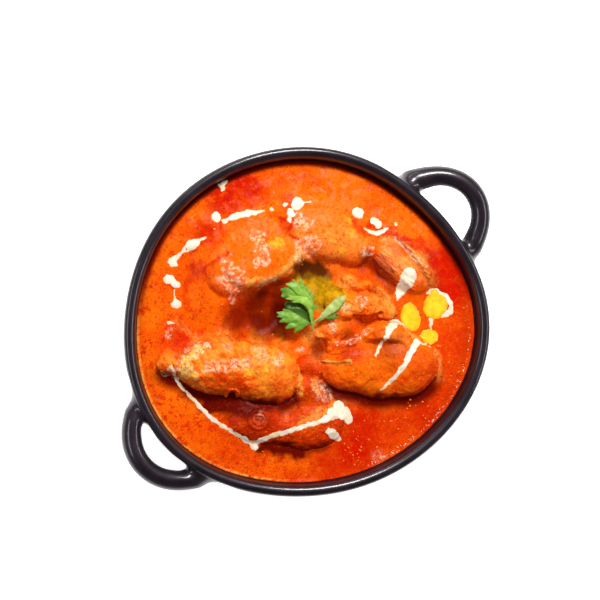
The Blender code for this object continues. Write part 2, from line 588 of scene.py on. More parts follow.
@dataclass(frozen=True)
class CurryCoat:
    """Tomato and cream gravy: orange, with red oil, gold butterfat and ground spice in it."""

    name: str
    # The light colour is partly the gravy's own paler tone, partly painted light on far-facing slopes.
    light: Colour = (1.0, 0.158, 0.0025)
    body: Colour = (0.95, 0.096, 0.0012)
    ember: Colour = (0.7, 0.035, 0.0008)
    red_oil: Colour = (0.62, 0.0065, 0.0003)
    # The deep colour is painted shade, under the chicken, in hollows and by the far wall.
    deep: Colour = (0.14, 0.0035, 0.0003)
    # The cavity colour is painted shade in the dark hole above the herb pool.
    cavity_shade: Colour = (0.12, 0.024, 0.003)
    gold: Colour = (1.0, 0.54, 0.035)
    flesh: Colour = (1.0, 0.4, 0.065)
    herb: Colour = (0.66, 0.34, 0.003)
    herb_dark: Colour = (0.38, 0.18, 0.002)
    # The milk colour is painted highlight for glints in the wet places, partly cream.
    milk_and_glint: Colour = (1.0, 0.76, 0.48)
    curd: Colour = (1.0, 0.27, 0.012)
    rust: Colour = (0.42, 0.018, 0.0006)
    dab: Colour = (0.64, 0.02, 0.0006)
    speck: Colour = (0.24, 0.011, 0.0008)
    peppered: float = 1.0
    patchy: float = 0.25
    bead: float = 1.4
    grain: float = 0.09
    fibre_heading: float = 0.0
    fibre_depth: float = 0.0
    roughness: tuple[float, float] = (0.2, 0.34)

    def stirred(self, bench: Bench, close: bpy.types.NodeSocket) -> bpy.types.NodeSocket:
        """Blend the gravy with all that is stirred through it and with the painted light and shade, from
        the lowest layer up.

        Args:
            bench: where the finish is laid out.
            close: the close cloudy pattern that several layers share.

        Returns:
            The colour.
        """
        times, ramp, noise_of, painted = bench.times, bench.ramp, bench.noise, bench.painted
        warm = bench.calc("ADD", ramp(close, 0.3, 0.6), 0.35)
        oily = bench.calc("ADD", times(ramp(noise_of(2.6, 4, 0.65), 0.3, 0.62), 0.5), 0.62)
        red = times(painted("red_oil"), oily)
        specks = bench.calc("SUBTRACT", 1.0, ramp(bench.cells(1.7), 0.1, 0.24))
        specks = times(times(specks, ramp(noise_of(1.5, 1), 0.44, 0.54)), painted("spice"))
        # Pale flecks in the wet places: painted highlights for glints, partly cream left on the surface.
        milky_glints = times(ramp(painted("wet"), 0.1, 0.6), ramp(noise_of(1.9, 5, 0.75, 0.4), 0.46, 0.6))
        # The first layer is painted light on far-facing slopes, the deep and cavity layers painted shade,
        # the last painted highlight.
        layers = (
            (painted("lit_crown"), self.light),
            (times(ramp(noise_of(5.5, 4, 0.6, 0.6), 0.46, 0.6), self.patchy), self.body),
            (times(painted("ember"), warm), self.ember),
            (times(ramp(close, 0.52, 0.68), 0.75), self.ember),
            (times(painted("flesh"), ramp(noise_of(2.2, 4, 0.6), 0.34, 0.54)), self.flesh),
            (red, self.red_oil),
            (times(ramp(noise_of(0.85, 3, 0.7), 0.52, 0.7), 0.6), bench.mix(red, self.curd, self.ember)),
            (times(ramp(noise_of(0.95, 3, 0.7), 0.54, 0.66), 0.75 * self.peppered), self.rust),
            (times(ramp(noise_of(3.2, 5, 0.7, 0.8), 0.54, 0.6), painted("dabbed")), self.dab),
            (times(painted("gold"), ramp(noise_of(2.4, 4, 0.6), 0.3, 0.6)), self.gold),
            (painted("deep"), self.deep),
            (painted("herb"), bench.mix(ramp(close, 0.35, 0.6), self.herb_dark, self.herb)),
            (painted("cavity_shade"), self.cavity_shade),
            (times(specks, 0.85 * self.peppered), self.speck),
            (times(milky_glints, 0.7), self.milk_and_glint),
        )
        colour = bench.mix(ramp(noise_of(17, 3), 0.38, 0.66), self.body, self.light)
        for share, tint in layers:
            colour = bench.mix(share, colour, tint)
        return colour

    def make(self) -> bpy.types.Material:
        """Lay out the finish over the painted shares.

        Returns:
            The material.
        """
        bench = Bench(self.name)
        close, wet = bench.noise(3.2, 4, 0.65), bench.painted("wet")
        colour = self.stirred(bench, close)
        normal = bench.relief(bench.noise(0.7, 3, 0.6), self.grain)
        normal = bench.relief(bench.noise(2.4, 3), self.grain * 1.6, normal)
        beaded = bench.relief(bench.times(bench.noise(1.0, 4, 0.7), wet), self.bead, normal)
        if self.fibre_depth:
            strands = bench.noise(0.8, 3, 0.6, at=bench.stretched(self.fibre_heading, 10))
            normal = bench.relief(strands, self.fibre_depth, normal)
            colour = bench.mix(bench.times(bench.ramp(strands, 0.55, 0.7), 0.4), colour, self.ember)
        bench.shader.subsurface_method = "RANDOM_WALK"
        return bench.done(
            Base_Color=colour,
            Roughness=bench.span(close, *self.roughness),
            Normal=normal,
            IOR=1.4,
            Specular_IOR_Level=0.07,
            Coat_Weight=bench.times(bench.ramp(wet, 0.15, 0.6), 0.7),
            Coat_Roughness=0.1,
            Coat_IOR=1.5,
            Coat_Normal=beaded,
            Subsurface_Weight=0.1,
            Subsurface_Radius=(1.0, 0.2, 0.04),
            Subsurface_Scale=1.2 * MM,
        )


@dataclass(frozen=True)
class PlainCoat:
    """A soft opaque food such as cream or melted butter, thinner and warmer at its edges."""

    name: str
    body: Colour
    shade: Colour
    edge: Colour
    roughness: float
    relief: float

    def make(self) -> bpy.types.Material:
        """Lay out the finish over the painted edge.

        Returns:
            The material.
        """
        bench = Bench(self.name)
        colour = bench.mix(bench.ramp(bench.noise(2.5, 3), 0.4, 0.7), self.body, self.shade)
        colour = bench.mix(bench.painted("thin"), colour, self.edge)
        bench.shader.subsurface_method = "RANDOM_WALK"
        return bench.done(
            Base_Color=colour,
            Roughness=bench.span(bench.noise(1.5, 2), self.roughness, self.roughness + 0.12),
            Normal=bench.relief(bench.noise(0.8, 2), self.relief),
            IOR=1.45,
            Subsurface_Weight=0.25,
            Subsurface_Radius=(1.0, 0.7, 0.4),
            Subsurface_Scale=1.0 * MM,
        )


@dataclass(frozen=True)
class CorianderLeaf:
    """Fresh green leaf: paler along its veins, darker and bluer between them."""

    # The sunlit, shaded and pale colours are painted light, shade and glare on whole leaflets.
    bright: Colour = (0.33, 0.58, 0.07)
    mid: Colour = (0.07, 0.22, 0.007)
    dark: Colour = (0.03, 0.09, 0.001)
    pale_and_glare: Colour = (0.46, 0.5, 0.17)

    def make(self) -> bpy.types.Material:
        """Lay out the finish over the painted veins and light.

        Returns:
            The material.
        """
        bench = Bench("coriander_leaf")
        mottled = bench.noise(1.3, 3)
        colour = bench.mix(bench.painted("sunlit"), self.mid, self.bright)
        colour = bench.mix(bench.times(bench.ramp(mottled, 0.45, 0.75), 0.45), colour, self.mid)
        colour = bench.mix(bench.painted("shaded"), colour, self.dark)
        colour = bench.mix(bench.painted("pale_and_glare"), colour, self.pale_and_glare)
        colour = bench.mix(bench.times(bench.painted("vein"), 0.45), colour, self.bright)
        return bench.done(
            Base_Color=colour,
            Roughness=bench.span(mottled, 0.3, 0.5),
            Normal=bench.relief(bench.noise(0.6, 2), 0.05),
            IOR=1.4,
            Subsurface_Weight=0.12,
            Subsurface_Radius=(0.5, 1.0, 0.15),
            Subsurface_Scale=0.8 * MM,
        )


@dataclass(frozen=True)
class GroundSpice:
    """Dark flecks of pepper, chilli skin and dried leaf."""

    dark: Colour = (0.15, 0.009, 0.0012)
    chilli: Colour = (0.42, 0.013, 0.0008)

    def make(self) -> bpy.types.Material:
        """Lay out the finish.

        Returns:
            The material.
        """
        bench = Bench("ground_spice")
        return bench.done(
            Base_Color=bench.mix(bench.ramp(bench.noise(5, 1), 0.42, 0.56), self.dark, self.chilli),
            Roughness=bench.span(bench.noise(1, 1), 0.35, 0.6),
        )


# ---------------------------------------------------------------------------------------------
# What is stirred through the curry and the painted light and shade on it, shared by the gravy and the
# chicken
# ---------------------------------------------------------------------------------------------


@dataclass(frozen=True)
class Patch:
    """A round place in the dish, its reach in millimetres and its strength."""

    x: float
    y: float
    reach: float
    strength: float = 1.0

    def over(self, points: np.ndarray) -> np.ndarray:
        """How much of the patch each point has."""
        away = np.hypot(points[:, 0] - self.x, points[:, 1] - self.y) / self.reach
        return self.strength * smooth_step(1.25 - away * 0.75)


@dataclass(frozen=True)
class Streak:
    """A line of places in the dish and half of its width."""

    line: tuple[Place, ...]
    reach: float
    strength: float = 1.0

    def over(self, points: np.ndarray) -> np.ndarray:
        """How much of the streak each point has.

        Args:
            points: places in millimetres.

        Returns:
            A share for each point.
        """
        nearest = np.full(len(points), 1e9)
        for first, last in zip(self.line, self.line[1:]):
            start, step = np.array(first), np.subtract(last, first)
            share = np.clip((points[:, :2] - start) @ step / (step @ step), 0, 1)
            gap = points[:, :2] - (start + share[:, None] * step)
            nearest = np.minimum(nearest, np.hypot(gap[:, 0], gap[:, 1]))
        return self.strength * smooth_step(1.4 - nearest / self.reach * 0.9)


STIRRED_IN = {
    "ember": (
        Patch(30, -66, 24, 0.65), Patch(58, -52, 20, 0.65), Patch(-20, -66, 20, 0.4),
        Patch(70, -30, 14, 0.75), Patch(-40, 30, 12, 0.25), Patch(-30, -50, 14, 0.3),
        Patch(45, -38, 9, 0.5), Patch(8, -23, 6, 0.9), Patch(-66, -32, 13, 0.35),
        Patch(-30, 52, 12, 0.25),
    ),
    "red_oil": (
        Patch(43, 0, 7, 0.6), Patch(38, 2, 5, 0.5), Patch(-20, 24, 9, 0.6), Patch(-6, 18, 9, 0.6),
        Patch(-70, -20, 14, 0.25), Patch(-36, -60, 14, 0.3), Patch(40, -62, 12, 0.4),
        Patch(-44, -24, 9, 0.4), Patch(-8, -20, 5, 0.4), Patch(17, 76, 11), Patch(7, 71, 9),
        Patch(19, 67, 7), Patch(-10, 64, 7, 0.9), Patch(-4, 60, 4, 0.7), Patch(67, -34, 10),
        Patch(72, -22, 12), Patch(60, 1, 6, 0.5), Patch(66, -48, 10, 0.5), Patch(56, -58, 12, 0.6),
        Patch(18, -72, 10, 0.8), Patch(48, 22, 4, 0.6), Patch(29, 50, 4, 0.6), Patch(22, 42, 4, 0.7),
        Patch(-20, -62, 12), Patch(-8, -56, 11, 0.9), Patch(-34, -62, 9, 0.8), Patch(-50, -58, 8, 0.6),
        Patch(2, -66, 9, 0.7), Patch(30, -66, 9, 0.5), Patch(-52, 32, 8, 0.75), Patch(-60, -12, 8, 0.4),
        Patch(52, -54, 10, 0.4), Streak(((54, 17), (60, 8), (66, -4), (70, -16)), 2.4, 0.9),
        Streak(((-20, 55), (-32, 50), (-40, 42)), 2.0, 0.5),
        Streak(((22, 46), (20.5, 40), (21.5, 33)), 1.3, 0.9),
        Streak(((49, 24), (50, 16), (55.5, 10)), 1.1, 0.8),
        Streak(((-9, 50), (-16, 51.5), (-23, 50.7)), 1.1, 0.8),
    ),
    "dabbed": (
        Patch(-60, 46, 26, 0.9), Patch(-74, 2, 22, 0.9), Patch(-64, -40, 26, 0.8),
        Patch(-30, -66, 24, 0.8), Patch(-22, 60, 16, 0.5), Patch(-46, 30, 12, 0.5),
        Patch(30, 66, 20, 0.35),
    ),
    # Painted shade: the valley below the back-left piece, under and before the front pieces, and in cracks
    # and hollows.
    "deep": (
        Patch(-16, 14, 8, 0.95), Patch(-24, 21, 7, 0.75), Patch(-4, 12, 7, 0.95), Patch(-10, 9, 7, 0.95),
        Patch(-12, 22, 7, 0.8), Patch(0, 19, 5, 0.8),
        Streak(((-60, 0), (-55, -6), (-48, -12), (-38, -18)), 4.4, 1.0), Patch(-46, -18, 9, 0.3),
        Patch(-46.5, -20.5, 1.5, 0.7), Patch(8, -23, 5, 0.25),
        Streak(((-10, -35), (-2, -45), (8, -54), (17, -61)), 2.6, 0.9),
        Streak(((-52, -32), (-47, -39), (-40, -46)), 3.6, 1.0),
        Streak(((-40, -46), (-30, -51)), 3.0, 0.7), Patch(-3, -13, 3.5, 0.8), Patch(13, -17, 3.5, 0.6),
        Streak(((42, 7), (44, -3), (44, -13)), 4.0, 0.6), Patch(22, -33, 8, 0.5), Patch(36, -9, 3, 0.4),
    ),
    # Painted shade in the dark cavity above the herb pool.
    "cavity_shade": (
        Streak(((13.5, 23.5), (18, 20), (21.5, 14.5)), 3.6, 1.0), Patch(23, 11, 2.6, 0.7),
        Patch(10, 22, 3, 0.5),
    ),
    "herb": (
        Streak(((14, 16), (16, 10), (17, 3)), 6.4, 1.25), Patch(19, -1, 4.5, 1.2), Patch(12, 4, 4.5, 1.2),
    ),
    "gold": (
        Streak(((-60, 20), (-54, 23.5), (-48, 23)), 2.4, 1.0), Patch(-57.5, 16.5, 2.4, 0.8),
        Patch(-35.5, 0, 2.6, 0.9), Patch(-31, -3, 2.2, 0.7), Patch(-22, 9, 3.5, 0.4),
        Patch(12, 38, 2.6, 0.7), Patch(43, 20, 2.4, 0.8), Patch(34, 17, 2.4, 0.5), Patch(-14, 2, 3, 0.35),
        Patch(47, 26, 2, 0.7), Patch(17, 26, 3, 0.4),
    ),
    "flesh": (
        Patch(25, 35, 7, 0.45), Patch(34, 24, 11, 0.45), Patch(42, 14, 6, 0.45),
        # The streak along the near edge of the back-left piece is a painted highlight on its lit crest.
        Streak(((14, 27.2), (4, 26.8), (-5, 29.8), (-11, 32.4)), 1.9, 1.0), Patch(29, 3, 3.6, 0.7),
        Streak(((57, 9), (62, 0), (63, -9), (61.5, -22)), 3.4, 1.0),
        Streak(((52, 4), (56, -6), (57, -18)), 2.0, 0.6),
        Streak(((-30, -35.5), (-19, -38.5), (-11, -40)), 3.0, 0.6), Patch(21, -7, 4, 0.5),
        Patch(34, -14, 4, 0.5), Patch(-25, -3, 4, 0.6), Streak(((-19, -17.5), (-22.5, -23)), 1.2, 0.9),
        Streak(((-14, -24), (-17, -30)), 1.4, 0.6), Patch(-12, -33, 2, 0.4), Patch(-1, -7, 4, 0.7),
        Patch(-6, -16, 4, 0.4), Patch(-49, 36, 4, 0.4), Patch(-34, 21, 3, 0.5),
        Streak(((-49.6, 41), (-45.4, 35), (-45, 28)), 1.6, 0.8),
        Streak(((36.6, -32), (37.1, -39)), 1.6, 0.8),
        Streak(((-5, -18.2), (-1, -22.2), (4.2, -25.8)), 1.0, 1.0), Patch(28, -30, 3, 0.5),
        Patch(31, -35, 3, 0.4), Streak(((40.5, -51), (40, -57), (34, -62)), 2.0, 0.9),
        Streak(((38, -11), (37, -17), (34, -26)), 1.8, 0.8),
    ),
    # Wet places: glossy and beaded, and flecked with pale painted highlights.
    "wet": (
        Streak(((7.5, 45.5), (4, 41.5), (1.5, 37.5)), 3.3, 1.0), Patch(7, 40, 3, 0.6),
        Patch(-14.5, 39, 5.5, 1.0), Patch(-12, 46, 3.4, 0.7), Streak(((-14, 34), (-20, 31)), 2.5, 0.7),
        Streak(((2, 27), (-6, 29)), 1.5, 0.7), Patch(27, 41, 4, 0.9),
        Streak(((24, 31), (18, 27)), 3.0, 0.8), Patch(46, 7, 2, 0.8),
        Streak(((-60, 21), (-53, 24.5), (-46, 23)), 3.0, 0.9),
        Streak(((-50, 14), (-42, 9), (-34, 4)), 2.8, 0.5), Patch(-26, 4, 4.5, 0.45),
        Patch(-58, 16, 2.4, 0.7), Patch(-37, 16, 3, 0.45), Patch(-22, -4, 3, 0.6), Patch(-66, 24, 2, 0.6),
        Patch(-53, 38, 2, 0.5), Patch(18, -4, 4, 0.8), Patch(28, -8, 3, 0.6), Patch(9, -9, 3.4, 0.6),
        Streak(((5, -17), (13, -20.5), (21, -21.5)), 1.5, 0.9), Patch(-9, -8, 2.4, 0.5),
        Patch(-14, -30, 5, 0.5), Streak(((60, 3), (62, -14)), 2.0, 0.5), Patch(-12, -72, 4, 0.35),
        Patch(-46, -20, 3, 0.3), Patch(21, 29, 4, 0.8), Patch(27, 26.5, 2.6, 0.7),
        Patch(30, 37, 3.4, 0.6), Patch(43, 9, 2.4, 0.8),
    ),
}
# How far the edges of all that wander, and over what distance.
DRIFT = 2.2
DRIFT_GRAIN = 7.0
CLEAR_OF_SHADE = (Patch(-26, 36, 13), Patch(50, 12, 9, 0.7))
SPICY = (
    Patch(-55, -40, 30), Patch(-62, 20, 26), Patch(-20, -64, 24), Patch(-58, 52, 20, 0.8),
    Patch(20, -70, 20, 0.7), Patch(0, 0, 70, 0.35), Patch(-40, 0, 26, 0.8),
)


def facing_far(obj: bpy.types.Object) -> np.ndarray:
    """How much each vertex faces the far side of the dish, from -1 to 1."""
    slope, far = normals_of(obj), math.radians(FAR_HEADING)
    return slope[:, 0] * math.cos(far) + slope[:, 1] * math.sin(far)


def painted_lee_shade(obj: bpy.types.Object, node: str) -> np.ndarray:
    """Painted shade where the near side of the chicken hangs over the gravy, and on a piece's own near
    side.

    Args:
        obj: the gravy or a piece of chicken.
        node: the piece's own node, whose own near side is told by its slope.

    Returns:
        A share for each vertex.
    """
    points, near = points_of(obj), -facing_far(obj)
    lee = np.zeros(len(points))
    for piece in PIECES:
        if piece.node == node:
            # Painted shade on the piece's own side that faces away from the far light.
            own = smooth_step((near - 0.3) / 0.6) * smooth_step((52 - points[:, 2]) / 6)
            lee = np.maximum(lee, own * piece.lee * 0.7)
            continue
        for lobe in piece.lobes:
            _, off, lean = lobe.reach(points)
            side = smooth_step(-lean * 1.6 - 0.1)
            side *= smooth_step((lobe.z + piece.lee_top - points[:, 2]) / 3)
            close = smooth_step(1.3 - np.maximum(off, 0) / piece.lee_reach)
            lee = np.maximum(lee, piece.lee * side * close)
    return lee * (1 - share_of(CLEAR_OF_SHADE, points))


def wall_gap(points: np.ndarray) -> tuple[np.ndarray, np.ndarray]:
    """How far points are from the bowl's inner wall.

    Args:
        points: places in millimetres.

    Returns:
        The turn of each round the bowl, and its gap to the wall in millimetres.
    """
    around = np.arctan2(points[:, 1], points[:, 0])
    return around, GRAVY_RADIUS + LIP_RADIUS * wave(around) - np.hypot(points[:, 0], points[:, 1])


def wall_shade(points: np.ndarray) -> np.ndarray:
    """Where the far wall keeps the light off the gravy's edge.

    Args:
        points: places in millimetres.

    Returns:
        A share for each point.
    """
    around, gap = wall_gap(points)
    off_far = np.abs((np.degrees(around) - FAR_HEADING - 5 + 180) % 360 - 180)
    return smooth_step(1.35 - gap / 2.2) * smooth_step((95 - off_far) / 30)


def tide_line(points: np.ndarray) -> np.ndarray:
    """Where pale fat has dried on the gravy's edge, along the near left of the bowl.

    Args:
        points: places in millimetres.

    Returns:
        A share for each point.
    """
    around, gap = wall_gap(points)
    window = smooth_step((50 - np.abs(np.degrees(around) % 360 - 180)) / 14)
    return smooth_step(1.6 - gap / 0.9) * window


def share_of(places: tuple[Patch | Streak, ...], points: np.ndarray) -> np.ndarray:
    """The strongest of several places at each point.

    Args:
        places: patches and streaks of the dish.
        points: places in millimetres.

    Returns:
        A share for each point.
    """
    share = np.zeros(len(points))
    for place in places:
        share = np.maximum(share, place.over(points))
    return share


def stir_in(obj: bpy.types.Object, node: str) -> None:
    """Paint what is stirred through the curry onto a piece, with the painted light and shade.

    Args:
        obj: the gravy or a piece of chicken, round the bowl's middle.
        node: the node it stands for.
    """
    points = points_of(obj)
    drift = np.stack([cloudy(points, DRIFT_GRAIN, seed) for seed in (3.1, 11.7)], 1) * DRIFT
    stirred = points.copy()
    stirred[:, :2] += drift
    for name, places in STIRRED_IN.items():
        share = share_of(places, stirred)
        # The deep share is painted shade: listed places, the lee of the chicken and the edge by the far
        # wall.
        if name == "deep":
            share = np.maximum(share, painted_lee_shade(obj, node))
            if node == "curry_gravy":
                share = np.maximum(share, wall_shade(points))
        if name == "flesh" and node == "curry_gravy":
            share = np.maximum(share, tide_line(points))
        paint(obj, name, share)
    # Painted light: slopes that face the far side, where the light comes from, and stand above the gravy
    # take the lighter crown colour; partly the paler tops of the chicken too.
    turn = next((piece.turn for piece in PIECES if piece.node == node), 0.3)
    crown = smooth_step((facing_far(obj) + turn) / 0.4)
    paint(obj, "lit_crown", crown * smooth_step((points[:, 2] - GRAVY_LEVEL) / 5))
    paint(obj, "spice", share_of(SPICY, points))


# ---------------------------------------------------------------------------------------------
# The bowl
# ---------------------------------------------------------------------------------------------


def wave(angle: np.ndarray) -> np.ndarray:
    """How far the outline stands out at each angle, as a share of the lip's radius."""
    return sum(size * np.cos(count * (angle - math.radians(crest))) for count, size, crest in WAVES)


def sway(height: np.ndarray) -> np.ndarray:
    """How much of the waves the bowl has at each height."""
    return smooth_step((height - WAVE_START) / (WAVE_FULL - WAVE_START))


def throw_waves(points: np.ndarray) -> np.ndarray:
    """Press the bowl's slow waves into points of a truly round one.

    Args:
        points: places in millimetres.

    Returns:
        Their new places.
    """
    angle = np.arctan2(points[:, 1], points[:, 0])
    reach = np.hypot(points[:, 0], points[:, 1])
    out = reach + LIP_RADIUS * sway(points[:, 2]) * wave(angle) * smooth_step(reach / 40)
    waved = points.copy()
    waved[:, 0], waved[:, 1] = out * np.cos(angle), out * np.sin(angle)
    return waved


@dataclass
class StonewareBowl:
    """The thrown bowl with its foot ring, rounded rim and two pulled loop handles."""

    outer: tuple[Place, ...] = (
        (0, 3.0), (38, 2.8), (41, 2.0), (41.8, 0.3), (42.6, 0.0), (45.0, 0.0), (46.0, 0.5), (46.5, 1.6),
        (47.4, 3.4), (54, 6.2), (62, 11.0), (70, 18.2), (77, 27.2), (82, 36.5), (84.3, 44.0),
        (85.2, 48.5), (85.5, 50.8), (84.9, 52.3), (83.6, 53.0),
    )
    inner: tuple[Place, ...] = (
        (82.2, 52.9), (80.9, 52.1), (80.1, 50.4), (79.1, 45.0), (77.2, 37.5), (72.8, 28.6),
        (65.5, 19.8), (55.5, 12.2), (44, 8.2), (30, 6.5), (0, 6.0),
    )
    turns: int = 288
    handle_reach: dict[str, float] = field(default_factory=lambda: {"east": 108.6, "west": 106.2})
    handle_line: float = -1.5
    handle_half_width: float = 21.8
    handle_root: float = 79.0
    handle_radius: float = 4.6
    root_radius: float = 8.2
    root_height: float = 44.0
    end_height: float = 49.5
    handle_steps: int = 72
    handle_sides: int = 32

    def thrown(self, profile: tuple[Place, ...], name: str) -> bpy.types.Object:
        """Turn a profile on the wheel, from one end on the axis to the other.

        Args:
            profile: radius and height of each point of the profile.
            name: the turned solid's name.

        Returns:
            A closed wavy solid.
        """
        let_go()
        bpy.ops.mesh.primitive_plane_add(size=1 * MM, location=(0, 0, 0))
        obj = bpy.context.object
        bpy.ops.object.mode_set(mode="EDIT")
        bpy.ops.mesh.merge(type="CENTER")
        start = Vector((0, 0, 0))
        for radius, height in profile:
            spot = Vector((radius, 0, height)) * MM
            if spot == start or (radius, height) == profile[0]:
                bpy.ops.transform.translate(value=spot)
            else:
                bpy.ops.mesh.extrude_region_move(TRANSFORM_OT_translate={"value": spot - start})
            start = spot
        bpy.ops.mesh.select_all(action="SELECT")
        bpy.ops.mesh.spin(steps=self.turns, angle=2 * math.pi, center=(0, 0, 0), axis=(0, 0, 1))
        bpy.ops.mesh.select_all(action="SELECT")
        bpy.ops.mesh.remove_doubles(threshold=0.01 * MM)
        face_outward(obj)
        obj.name = name
        return obj

    def rounded(self, profile: tuple[Place, ...]) -> tuple[Place, ...]:
        """Draw a smooth line through a profile's points, three steps to each.

        Args:
            profile: radius and height of each point.

        Returns:
            The points of the line.
        """
        drawn = []
        for i in range(len(profile) - 1):
            before, first = np.array(profile[max(i - 1, 0)]), np.array(profile[i])
            last, after = np.array(profile[i + 1]), np.array(profile[min(i + 2, len(profile) - 1)])
            for step in range(3):
                t = step / 3
                bend = (2 * before - 5 * first + 4 * last - after) * t * t
                twist = (3 * first - before - 3 * last + after) * t**3
                spot = ((2 * first) + (last - before) * t + bend + twist) / 2
                drawn.append((float(spot[0]), float(spot[1])))
        return (*drawn, profile[-1])

    def tube(self, side: str) -> np.ndarray:
        """Bend a round tube out from the wall and back, flared where it meets the wall.

        Args:
            side: which of the two handles it is for.

        Returns:
            Its points in millimetres, ring by ring.
        """
        depth = self.handle_reach[side] - self.handle_radius - self.handle_root
        steps, sides = self.handle_steps, self.handle_sides
        turn = np.repeat(np.linspace(-math.pi / 2, math.pi / 2, steps + 1), sides)
        round_tube = np.tile(np.arange(sides) * 2 * math.pi / sides, steps + 1)
        out = np.cos(turn)
        flat = np.zeros(len(turn))
        path = np.stack([
            self.handle_root + depth * out,
            self.handle_half_width * np.sin(turn),
            self.root_height + (self.end_height - self.root_height) * out,
        ], 1)
        along = np.stack([-depth * np.sin(turn), self.handle_half_width * np.cos(turn), flat], 1)
        along /= np.linalg.norm(along, axis=1)[:, None]
        across = np.stack([along[:, 1], -along[:, 0], flat], 1)
        radius = self.handle_radius + (self.root_radius - self.handle_radius) * (1 - out) ** 2.6
        tube = path + radius[:, None] * (np.cos(round_tube)[:, None] * across)
        tube[:, 2] += radius * np.sin(round_tube)
        if side == "west":
            tube[:, :2] *= -1
        tube[:, 1] += self.handle_line
        return tube

    def handle(self, side: str) -> bpy.types.Object:
        """Pull one loop handle: draw out a rod a ring at a time, then bend it to its tube.

        Args:
            side: which of the two.

        Returns:
            The handle's solid, whose ends are inside the wall.
        """
        sides = self.handle_sides
        let_go()
        bpy.ops.mesh.primitive_cylinder_add(
            vertices=sides, radius=self.handle_radius * MM, depth=1 * MM, end_fill_type="NGON"
        )
        obj = bpy.context.object
        bpy.ops.object.mode_set(mode="EDIT")
        bpy.ops.mesh.select_all(action="DESELECT")
        bpy.ops.object.mode_set(mode="OBJECT")
        for face in obj.data.polygons:
            face.select = face.normal.z > 0.9
        bpy.ops.object.mode_set(mode="EDIT")
        for _ in range(self.handle_steps - 1):
            bpy.ops.mesh.extrude_region_move(TRANSFORM_OT_translate={"value": (0, 0, 1 * MM)})
        bpy.ops.object.mode_set(mode="OBJECT")
        # The rod's rings are a millimetre apart, the first half a millimetre below nought.
        rod = points_of(obj)
        ring_of = np.round(rod[:, 2] + 0.5).astype(int)
        side_of = np.round(np.arctan2(rod[:, 1], rod[:, 0]) / (2 * math.pi) * sides).astype(int)
        set_points(obj, self.tube(side)[ring_of * sides + side_of % sides])
        face_outward(obj)
        obj.name = f"handle_{side}"
        return obj

    def soften_roots(self, bowl: bpy.types.Object) -> None:
        """Wipe the clay smooth where the handles are pressed on.

        Args:
            bowl: the bowl with both handles joined.
        """
        points = points_of(bowl)
        reach = np.hypot(points[:, 0], points[:, 1])
        radii, levels = zip(*self.outer[8:-1])
        wall = np.interp(points[:, 2], levels, radii)
        wall = wall + LIP_RADIUS * wave(np.arctan2(points[:, 1], points[:, 0]))
        off_wall = np.abs(reach - wall)
        root = np.abs(np.abs(points[:, 1] - self.handle_line) - self.handle_half_width)
        near = smooth_step(1.7 - off_wall / 4.0) * smooth_step(1.9 - root / 9) * (points[:, 2] > 31)
        near *= smooth_step((52.2 - points[:, 2]) / 1.5)
        group = group_of(bowl, "roots", near * (np.abs(points[:, 0]) > 55))
        shape(bowl, "SMOOTH", iterations=60, factor=0.7, vertex_group=group)

    def build(self) -> None:
        """Model the bowl, join its handles and glaze it."""
        bowl = self.thrown(self.rounded(self.outer + self.inner), "stoneware_bowl")
        set_points(bowl, throw_waves(points_of(bowl)))
        core = tuple((radius + 2.5, height) for radius, height in self.inner[3:-1])
        core = ((0, 90), (core[0][0], 90), *core, (0, core[-1][1]))
        wall_core = self.thrown(core, "wall_core")
        set_points(wall_core, throw_waves(points_of(wall_core)))
        for side in self.handle_reach:
            handle = self.handle(side)
            shape(handle, "BOOLEAN", operation="DIFFERENCE", object=wall_core, solver="EXACT")
            shape(bowl, "BOOLEAN", operation="UNION", object=handle, solver="EXACT")
            bpy.data.objects.remove(handle)
        bpy.data.objects.remove(wall_core)
        self.soften_roots(bowl)
        points, slope = points_of(bowl), normals_of(bowl)
        reach = np.maximum(np.hypot(points[:, 0], points[:, 1]), 1)
        inward = -(slope[:, 0] * points[:, 0] + slope[:, 1] * points[:, 1]) / reach
        paint(bowl, "inner", smooth_step(inward * 2.5) * smooth_step((50.6 - points[:, 2]) / 1.5))
        serve(bowl, StonewareGlaze().make(), Slot.GLAZE, "bowl")


# ---------------------------------------------------------------------------------------------
# The chicken
# ---------------------------------------------------------------------------------------------


